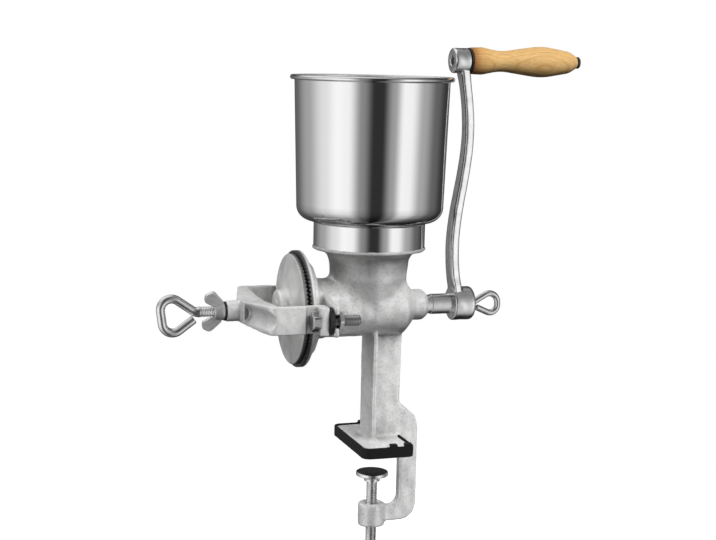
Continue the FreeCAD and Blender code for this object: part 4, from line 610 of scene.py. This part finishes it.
def joined(name, skins):
    """One mesh in metres from one or more skins in millimetres."""
    points, faces, start = [], [], 0
    for some_points, some_faces in skins:
        points.append(some_points * MM)
        faces += [[v + start for v in face] for face in some_faces]
        start += len(some_points)
    mesh = bpy.data.meshes.new(name)
    mesh.from_pydata(np.vstack(points).tolist(), [], faces)
    mesh.validate()
    smoothed(mesh)
    return mesh


def enter(name, mesh, body, node, finish):
    """Puts a mesh into the scene as one object that rides on a body in a node's place.

    A negative volume means that its faces point inwards, and then they are all turned round.
    """
    solid = bmesh.new()
    solid.from_mesh(mesh)
    volume = solid.calc_volume(signed=True) * 1e6
    if volume < 0:
        bmesh.ops.reverse_faces(solid, faces=solid.faces)
        solid.to_mesh(mesh)
    solid.free()
    made = bpy.data.objects.new(name, mesh)
    bpy.context.scene.collection.objects.link(made)
    mesh.materials.clear()
    mesh.materials.append(finish)
    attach(made, body)
    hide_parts(node)
    print(name, len(mesh.polygons), "faces,", round(abs(volume), 2), "cubic centimetres")
    return made


def piece(name, skins, body, node, finish, sharp=32):
    """One object from one or more skins, with hard edges where two faces turn more than sharp."""
    mesh = joined(name, skins)
    mesh.set_sharp_from_angle(angle=math.radians(sharp))
    return enter(name, mesh, body, node, finish)


print("surface kit ready")

# %% [markdown]
# ## Hopper
# The hopper is one sheet of steel, spun over a form: a straight neck, a rounded shoulder, a wall
# that opens slightly, and an edge rolled outwards so that it doesn't cut. One closed profile, up the
# outside and down the inside, turned about the upright axis, gives both faces and the edge at once.
# The faces that look towards that axis are the inside, and get the satin finish.

# %% Hopper surface
HOPPER_FOOT, WALL = 187.5, 0.8
hopper_profile = rounded([  # level, radius, bend
    (HOPPER_FOOT, 50.7, 0.2), (209.9, 50.7, 1.4), (213.3, 66.4, 13.0), (336.9, 70.05, 0.6),
    (336.8, 74.0, 1.9), (341.0, 74.0, 1.9), (341.0, 69.3, 1.4),
    (214.1, 66.4 - WALL, 12.2), (210.7, 50.7 - WALL, 2.2), (HOPPER_FOOT, 50.7 - WALL, 0.2)],
    closed=True, steps=12)
hopper = piece("hopper_shell", [skin(turned(hopper_profile.T, "z", columns=256), closed=True)],
               "hopper", "hopper", polished_sheet)

# %% Satin inside
hopper.data.materials.append(satin_sheet)
face_count = len(hopper.data.polygons)
middles, arrows = np.empty(face_count * 3), np.empty(face_count * 3)
hopper.data.polygons.foreach_get("center", middles)
hopper.data.polygons.foreach_get("normal", arrows)
towards_axis = (middles.reshape(-1, 3)[:, :2] * arrows.reshape(-1, 3)[:, :2]).sum(1) < 0
hopper.data.polygons.foreach_set("material_index", towards_axis.astype(int))
print(int(towards_axis.sum()), "faces of the inside are satin")

# %% [markdown]
# ## Wooden grip
# Turned on a lathe: a plain collar, a thin waist, a belly that fills the palm, and a small end. The
# bore for the bolt runs right through, so the profile closes through it.

# %% Grip surface
ON_SHAFT, ON_GRIP = (0, 0, SHAFT_LEVEL), (0, 0, SHAFT_LEVEL + THROW)
grip_profile = rounded([  # along, radius, bend
    (93.3, 3.99, 0), (93.3, 12.1, 1.6), (105.05, 12.5, 14), (123.2, 8.9, 45), (164.86, 14.8, 62),
    (192.62, 10.06, 16), (200.1, 5.6, 0.7), (200.1, 3.99, 0)], closed=True, steps=24)
piece("turned_grip", [skin(turned(grip_profile[::-1].T, "x", ON_GRIP, 96)[::-1], closed=True)],
      "grip", "handle_grip", lacquered_wood)

# %% [markdown]
# ## Castings
# Molten iron fills a mould of packed sand. No edge of the mould stays sharp, walls meet in hollow
# rounds, and the skin is slightly uneven all over. A bevel on each edge would miss the places where
# two walls run into each other, so the whole skin is drawn again: through a grid of cubes about a
# millimetre wide, then relaxed, and last moved in and out a little.

# %% A skin drawn again
EASING_ROUNDS = 90


def relaxed(points, first, last, rounds, share):
    """In each round a point moves a share of its way to the middle of its neighbours.

    first and last are the two ends of each edge.
    """
    count = len(points)
    neighbours = np.bincount(np.concatenate([first, last]), minlength=count)[:, None]
    for _ in range(rounds):
        sums = [np.bincount(first, points[last, k], count) + np.bincount(last, points[first, k], count)
                for k in range(3)]
        points = points + share * (np.stack(sums, 1) / neighbours - points)
    return points


def cast_together(mesh, grain, rounds, ease=None):
    """Draws a mesh's skin again through a grid of cubes of grain millimetres, then relaxes it.

    The grid joins skins that overlap and breaks every sharp edge by about half a cube. ease takes
    the points in millimetres and gives a number from 0 to 1 for each, and where it is above 0 the
    extra rounds make a hollow round of a joint between two walls.
    """
    rough = bpy.data.objects.new("rough", mesh)
    bpy.context.scene.collection.objects.link(rough)
    grid = rough.modifiers.new("grid", "REMESH")
    grid.mode, grid.voxel_size = "VOXEL", grain * MM
    fine = bpy.data.meshes.new_from_object(rough.evaluated_get(bpy.context.evaluated_depsgraph_get()))
    bpy.data.objects.remove(rough)
    points = np.empty(len(fine.vertices) * 3)
    fine.vertices.foreach_get("co", points)
    ends = np.empty(len(fine.edges) * 2, int)
    fine.edges.foreach_get("vertices", ends)
    first, last = ends.reshape(-1, 2).T
    points = relaxed(points.reshape(-1, 3), first, last, rounds, 0.5)
    if ease is not None:
        points = relaxed(points, first, last, EASING_ROUNDS, 0.5 * ease(points / MM)[:, None])
    fine.vertices.foreach_set("co", points.ravel())
    smoothed(fine)
    return fine


# %% An uneven skin
WAVES = 12


def uneven(mesh, depth, size, seed):
    """Moves points in and out along the surface's normal, as a sand mould leaves a skin.

    The height is depth times a sum of twelve waves, each a sine of the distance along a random
    arrow, about size long, and divided by the root of twelve. Both are in millimetres.
    """
    draw = np.random.default_rng(seed)
    count = len(mesh.vertices)
    points, normals = np.empty(count * 3), np.empty(count * 3)
    mesh.vertices.foreach_get("co", points)
    mesh.vertex_normals.foreach_get("vector", normals)
    points, normals = points.reshape(-1, 3), normals.reshape(-1, 3)
    arrows = draw.normal(size=(WAVES, 3))
    turns = 2 * math.pi / (size * MM) * draw.uniform(0.7, 1.3, WAVES)
    arrows *= (turns / np.linalg.norm(arrows, axis=1))[:, None]
    height = np.sin(points @ arrows.T + draw.uniform(0, 2 * math.pi, WAVES)).sum(1) / math.sqrt(WAVES)
    points += normals * height[:, None] * depth * MM
    mesh.vertices.foreach_set("co", points.ravel())


def cast_copy(name, node, body, finish, grain, rounds, depth, size, seed, ease=None):
    """A copy of a node with the soft edges and the uneven skin of a casting."""
    mesh = nodes[node].data.copy()
    loose = bmesh.new()
    loose.from_mesh(mesh)
    bmesh.ops.remove_doubles(loose, verts=loose.verts, dist=0.001 * MM)
    loose.to_mesh(mesh)
    loose.free()
    fine = cast_together(mesh, grain, rounds, ease)
    uneven(fine, depth, size, seed)
    enter(name, fine, body, node, finish)


print("casting kit ready")

# %% [markdown]
# ## Mill body
# Where the throat meets the barrel the pattern maker put a large hollow round, so the points near
# both walls are relaxed much longer than the rest.

# %% Mill body
BARREL_RADIUS, THROAT_RADIUS, ROUND_REACH = 27.0, 35.5, 9.0


def near_the_joint(points):
    """One on the line where throat and barrel meet, falling off over about seven millimetres.

    The weight is e to the power of minus the squares of both distances, from the barrel's wall and
    from the throat's, divided by the square of ROUND_REACH.
    """
    x, y, z = points.T
    off_barrel = np.hypot(y, z - SHAFT_LEVEL) - BARREL_RADIUS
    off_throat = np.hypot(x, y) - THROAT_RADIUS
    weight = np.exp(-(off_barrel ** 2 + off_throat ** 2) / ROUND_REACH ** 2)
    return np.where(z > SHAFT_LEVEL, weight, 0.0)


cast_copy("body_casting", "mill_body", "mill", cast_skin,
          grain=1.22, rounds=3, depth=0.12, size=12.0, seed=3, ease=near_the_joint)

# %% Yoke, shoe and wing nut
cast_copy("yoke_casting", "adjuster_yoke", "mill", yoke_skin,
          grain=0.62, rounds=6, depth=0.08, size=9.0, seed=5)
cast_copy("rubber_shoe", "foot_pad", "mill", black_rubber,
          grain=0.62, rounds=3, depth=0.04, size=14.0, seed=7)
cast_copy("wing_nut", "lock_wing_nut", "wing_nut", wing_skin,
          grain=0.34, rounds=6, depth=0.05, size=6.0, seed=9)

# %% [markdown]
# ## Crank
# The crank is cast in one: a round hub, an arm that sways once between hub and eye, and the eye for
# the grip's bolt. Its arm is a flat bar with rounded edges. It is wide at the hub, narrower towards
# the eye and a little narrower on its outer side, and it swells where it runs into both. Three
# overlapping skins are drawn together through the grid, so that the swells and the hollow rounds
# between them come out as one skin, as they do in a mould.

# %% Crank arm
HUB_FACE, HUB_END, HUB_RADIUS = 81.5, 102.0, 15.6
EYE_FACE, EYE_END, EYE_RADIUS = 76.0, 91.8, 11.4
ARM_FOOT, ARM_HEAD, TAPERED_SHARE = 9.0, 217.5, 0.74
ARM_MIDDLE, ARM_SWAY, SWAY_FROM, SWAY_HALF = 88.0, 6.0, 52.0, 108.0
ARM_HALF_THICK, ARM_HALF_WIDE, ARM_HALF_NARROW = 4.5, 9.6, 6.6
SWELL_REACH, SWELL_THICK, SWELL_WIDE = 7.0, 0.3, 1.6
CLEAR, SLANT = 0.2, 0.33


def crank_arm_grid(rows=220, columns=96, power=5.0, draft=0.14):
    """The arm's middle is ARM_MIDDLE minus the sway times a cosine, half a turn for SWAY_HALF.

    The section is a rounded rectangle: sizes times the sine and the cosine, each to the power of
    2 / power. It is narrower on the outer side by a share, the draft that lets a pattern out of its
    mould. Near hub and eye the sizes grow by a bell e ** -(distance / reach) ** 2. On the inner side
    x stays above a slanted limit by the soft maximum ln(e ** x + e ** limit), which leaves no edge.
    """
    level = np.linspace(ARM_FOOT, ARM_HEAD, rows)
    over_hub, under_eye = level - HUB_RADIUS, THROW - EYE_RADIUS - level
    middle = ARM_MIDDLE - ARM_SWAY * np.cos(math.pi * (level - SWAY_FROM) / SWAY_HALF)
    taper = np.minimum(1.0, (level - ARM_FOOT) / (ARM_HEAD - ARM_FOOT) / TAPERED_SHARE)
    swell = np.exp(-(over_hub / SWELL_REACH) ** 2) + np.exp(-(under_eye / SWELL_REACH) ** 2)
    half_thick = ARM_HALF_THICK + SWELL_THICK * swell
    half_wide = ARM_HALF_WIDE + (ARM_HALF_NARROW - ARM_HALF_WIDE) * taper + SWELL_WIDE * swell
    angle = once_round(columns)
    waves = np.cos(angle), np.sin(angle)
    across, over = [np.sign(wave) * np.abs(wave) ** (2 / power) for wave in waves]
    x = middle[:, None] + half_thick[:, None] * across
    x = np.logaddexp(x, HUB_FACE + CLEAR - SLANT * np.clip(over_hub, 0, 30)[:, None])
    x = np.minimum(x, EYE_END - CLEAR + np.clip(under_eye, 0, 10)[:, None])
    y = half_wide[:, None] * over * (1 - draft * (across + 1) / 2)
    return np.stack([x, y, SHAFT_LEVEL + level[:, None] * np.ones(columns)], -1)


print("the arm runs", ARM_HEAD - ARM_FOOT, "mm")

# %% Crank drawn together
hub_profile = rounded([(HUB_FACE, 2.0, 0), (HUB_FACE, HUB_RADIUS, 1.0), (HUB_END, HUB_RADIUS, 3.4),
                       (HUB_END, 2.0, 0)])
eye_profile = rounded([
    (EYE_FACE, 4.6, 0.4), (EYE_FACE, EYE_RADIUS, 1.6), (EYE_END, EYE_RADIUS, 1.6), (EYE_END, 3.95, 0.3),
    (EYE_FACE + 4.6, 3.95, 0.2), (EYE_FACE + 4.0, 4.6, 0.2)], closed=True)
crank_skins = [
    skin(turned(hub_profile.T, "x", ON_SHAFT, 96)),
    skin(crank_arm_grid()[:, ::-1]),
    skin(turned(eye_profile.T, "x", ON_GRIP, 96), closed=True)]
crank_mesh = cast_together(joined("crank", crank_skins), grain=0.5, rounds=5)
uneven(crank_mesh, depth=0.05, size=9.0, seed=11)
enter("crank", crank_mesh, "rotor", "crank_arm", crank_skin)

# %% [markdown]
# ## Rods bent into loops
# The three screws of this mill are turned by hand, so each ends in a loop: a rod bent round in one
# plane until its end nearly meets its own root. A section carried along the path makes it, and its
# radius may change from row to row and from column to column, which gives the thread. A thread is a
# ridge that climbs as it goes round, so its height depends on the distance along the rod divided by
# the pitch, minus the share of a turn.

# %% Threads
def thread(along, radius, pitch, depth, stretch, columns):
    """Radius of a rolled thread, rows by columns.

    From the full radius it goes in by depth times half of one minus the cosine of the phase, a full
    circle for each pitch. It fades in and out within one pitch of the ends of its stretch.
    """
    phase = (along[:, None] / pitch - np.arange(columns) / columns) * 2 * math.pi
    fade = np.clip((along - stretch[0]) / pitch, 0, 1) * np.clip((stretch[1] - along) / pitch, 0, 1)
    return np.asarray(radius)[:, None] - depth * fade[:, None] * (0.5 - 0.5 * np.cos(phase))


print("thread ready")

# %% Loops
# Corners of a loop: distance beyond the rod's root, distance aside, bend.
LARGE_LOOP = [(1.5, 0.0, 6.0), (35.17, 23.0, 9.6), (28.2, -25.6, 9.4), (2.0, -6.2, 0)]
SMALL_LOOP = [(1.5, 0.0, 4.0), (25.4, 13.6, 8.4), (27.8, -14.6, 7.4), (5.2, -4.4, 0)]
ROD_COLUMNS, ROD_EDGE, LOOP_ROW = 40, 0.9, 0.6


def looped_screw(name, node, body, start, arrow, over, tip, root, loop, steps, stretch, pitch, depth):
    """A rod along arrow from tip to root, then round its loop in the plane of arrow and over.

    steps are (length, radius) pairs with straight lines between them. Near an end the radius loses
    edge * (1 - sqrt(1 - u * u)), where u goes from 0 to 1 over the last edge of the rod.
    """
    arrow, over = np.array(arrow, float), np.array(over, float)
    corners = [(tip, 0.0, 0)] + [(root + out, aside, bend) for out, aside, bend in loop]
    flat = rounded(corners, steps=18)
    whole = lengths(flat)[-1]
    threaded = np.arange(0, root - tip, pitch / 7)
    bent = np.arange(root - tip, whole - ROD_EDGE, LOOP_ROW)
    wanted = np.concatenate([threaded, bent, whole - ROD_EDGE * np.cos(np.linspace(0, math.pi / 2, 6))])
    dome = ROD_EDGE * (1 - np.cos(np.linspace(0, math.pi / 2, 5)))[:-1]
    along = np.concatenate([dome, wanted[wanted > ROD_EDGE]])
    flat = at(flat, along)
    path = np.array(start) + flat[:, :1] * arrow + flat[:, 1:] * over
    radius = np.interp(along, *np.array(steps).T)
    for distance in (along, whole - along):
        u = np.clip(1 - distance / ROD_EDGE, 0, 1)
        radius = radius - ROD_EDGE * (1 - np.sqrt(1 - u * u))
    radius = thread(along, radius, pitch, depth, stretch, ROD_COLUMNS)
    grid = carried(path, radius, np.cross(arrow, over), ROD_COLUMNS)
    piece(name, [skin(grid)], body, node, plated_steel, 50)


print(len(LARGE_LOOP) - 1, "bends in a loop")

# %% Adjusting screw, crank screw and clamp screw
UNDER_PAD = (8.25, 0, -28.0)
looped_screw("adjusting_loop", "adjusting_screw", "adjuster", ON_SHAFT, (-1, 0, 0), (0, 0, 1),
             tip=92.8, root=159.5, loop=LARGE_LOOP, steps=[(0, 4.7), (64.7, 4.7), (70.7, 3.95)],
             stretch=(0, 64.0), pitch=1.5, depth=0.55)
looped_screw("crank_loop", "crank_screw", "crank_screw", ON_SHAFT, (1, 0, 0), (0, 0, 1),
             tip=86.0, root=102.5, loop=SMALL_LOOP, steps=[(0, 2.9), (16.0, 2.9)],
             stretch=(0, 12.0), pitch=1.0, depth=0.4)
looped_screw("clamp_loop", "clamp_screw", "clamp_screw", UNDER_PAD, (0, 0, -1), (1, 0, 0),
             tip=0.0, root=78.0, loop=LARGE_LOOP,
             steps=[(0, 3.2), (5.9, 3.2), (6.1, 5.0), (76.0, 5.0), (83.0, 3.95)],
             stretch=(7.0, 75.0), pitch=1.5, depth=0.6)

# %% [markdown]
# ## Hexagon heads, nuts and washers
# A hexagon seen along its axis has a radius that depends on the angle. The sum of the powers of
# three cosines, one for each pair of flats, gives it with softly rounded corners: the higher the
# power, the sharper they are. A lathe then cuts the corners off at the face with a flat cone, so the
# radius is the smaller of the two. After that a bolt is one profile turned about its axis.

# %% Hexagons
COLUMNS = 96
CHAMFER = np.linspace(0, 0.8, 6)
FACE_RADIUS, CONE_RADIUS = 0.30, 0.95
POINT_LENGTH, POINT_DEPTH = 1.2, 1.0


def ring(radius):
    """One row of a turned grid."""
    return np.full((1, COLUMNS), radius)


def hexagon(flats, corner, power=34):
    """Radius by angle: half the flats divided by the power-th root of the sum of |cos| ** power,
    with the cosines taken from the normals of the three pairs of flats."""
    normals = math.radians(corner + 30) + np.arange(3) * math.pi / 3
    cosines = np.abs(np.cos(once_round(COLUMNS)[:, None] - normals))
    return flats / 2 / (cosines ** power).sum(1) ** (1 / power)


def chamfered(flats, corner):
    """Rows of a hexagon below its face: the radius grows by the tangent of 60 degrees times the
    depth, from CONE_RADIUS of half the flats, until it meets the hexagon."""
    cone = flats / 2 * CONE_RADIUS + CHAMFER[:, None] * math.tan(math.pi / 3)
    return np.minimum(hexagon(flats, corner), cone)


def bolt_grid(face, back, flats, corner, shank_end, radius, pitch, depth, stretch):
    """Head face, chamfer, flats, then the shank with its thread and a pointed end."""
    sign = 1.0 if shank_end > face else -1.0
    head_x = np.concatenate([[face], face + sign * CHAMFER, [back, back]])
    head_r = np.vstack([ring(flats * FACE_RADIUS), chamfered(flats, corner),
                        hexagon(flats, corner)[None], ring(radius)])
    along = np.arange(0, abs(shank_end - back), pitch / 8)
    point = np.clip((abs(shank_end - back) - along) / POINT_LENGTH, 0, 1)
    shank_r = thread(along, radius - POINT_DEPTH * (1 - point), pitch, depth, stretch, COLUMNS)
    return np.concatenate([head_x, back + sign * along]), np.vstack([head_r, shank_r])


def washer_profile(left, right, bore, outside, bore_bend, rim_bend):
    """A washer cut through, from its left face to its right."""
    return rounded([(left, bore, bore_bend), (left, outside, rim_bend), (right, outside, rim_bend),
                    (right, bore, bore_bend)], closed=True).T


print("a hexagon of 16 mm is", round(2 * hexagon(16.0, 0).max(), 1), "mm over its soft corners")

# %% Bolts, nuts and washers of the yoke
BOLT_Y, BOLT_FLATS, BOLT_RADIUS = 66.0, 16.0, 5.0
BOLT_PLACES = [(0, side * BOLT_Y, SHAFT_LEVEL) for side in (-1, 1)]
NUT_FACE, NUT_BACK, BORE_BEVEL = -49.2, -45.2, 0.4


def at_both(profile, closed=True):
    """The same turned skin at each of the yoke's two bolts."""
    return [skin(turned(profile, "x", spot, COLUMNS), closed) for spot in BOLT_PLACES]


bolt = bolt_grid(face=-73.0, back=-66.0, flats=BOLT_FLATS, corner=90, shank_end=-29.0,
                 radius=BOLT_RADIUS, pitch=1.5, depth=0.75, stretch=(11.0, 40.0))
# Rows of a nut: the bore's edge, the cone on its back, its flats, the bore's other edge, the bore.
nut_x = np.concatenate([[NUT_BACK], NUT_BACK - CHAMFER,
                        [NUT_FACE, NUT_FACE, NUT_FACE + BORE_BEVEL, NUT_BACK - BORE_BEVEL]])
nut_r = np.vstack([ring(5.6), chamfered(BOLT_FLATS, 0), hexagon(BOLT_FLATS, 0)[None], ring(5.5),
                   ring(BOLT_RADIUS + 0.05), ring(BOLT_RADIUS + 0.05)])
washer = washer_profile(-58.0, -54.5, 5.05, 12.0, 0.3, 0.7)

piece("hexagon_bolts", at_both(bolt, closed=False), "mill", "yoke_bolts", bolt_skin, 40)
piece("hexagon_nuts", at_both((nut_x, nut_r)), "mill", "yoke_nuts", plated_steel, 40)
# The washers fill the gap between ear and lug; their black is partly painted shade for that gap.
piece("thick_washers", at_both(washer), "mill", "yoke_washers", blackened_steel)

# %% [markdown]
# The grip turns on a long bolt. Its threaded end shows inside the crank's eye, and its small head
# holds the grip at the outer end. A thin black washer keeps wood and iron apart. The pressure pad
# under the clamp's jaw is turned too: a flat disc with a collar that holds the screw's neck.

# %% Grip bolt, thin washer and pressure pad
grip_bolt = bolt_grid(face=203.6, back=200.4, flats=9.6, corner=30, shank_end=79.2,
                      radius=3.9, pitch=1.25, depth=0.5, stretch=(108.0, 130.0))
piece("grip_bolt", [skin(turned(grip_bolt, "x", ON_GRIP, COLUMNS))],
      "rotor", "handle_bolt", blackened_steel, 40)
thin_washer = washer_profile(91.8, 93.0, 3.95, 11.8, 0.2, 0.35)
piece("thin_washer", [skin(turned(thin_washer, "x", ON_GRIP, COLUMNS), closed=True)],
      "rotor", "grip_washer", blackened_steel)
pad_profile = rounded([  # level, radius, bend
    (-25.0, 2.0, 0), (-25.0, 15.0, 1.0), (-28.5, 15.0, 0.8), (-31.0, 7.4, 1.2), (-34.0, 7.4, 0.5),
    (-34.0, 3.25, 0.3), (-27.95, 3.25, 0.2), (-27.95, 1.0, 0)])
piece("pressure_pad", [skin(turned(pad_profile.T, "z", (8.25, 0, 0), COLUMNS))],
      "clamp_pad", "clamp_pad", plated_steel)

# %% [markdown]
# ## The pieces that stay
# The burrs with their teeth, the worm and the small parts held inside are exact already, and their
# edges are cut, not cast. They only change their finish.

# %% Finishes for the pieces that stay as they are
STAY = {
    "fixed_burr": ground_iron, "rotating_burr": ground_iron, "burr_screws": plated_steel,
    # The lock washer is blackened; its black is partly painted shade for the gap between nut and boss.
    "feed_auger": turned_shaft, "thrust_ball": bright_steel, "lock_washer": blackened_steel,
}
for name, finish in STAY.items():
    for slot in nodes[name].material_slots:
        slot.material = finish
print(len(STAY), "nodes with a finish")
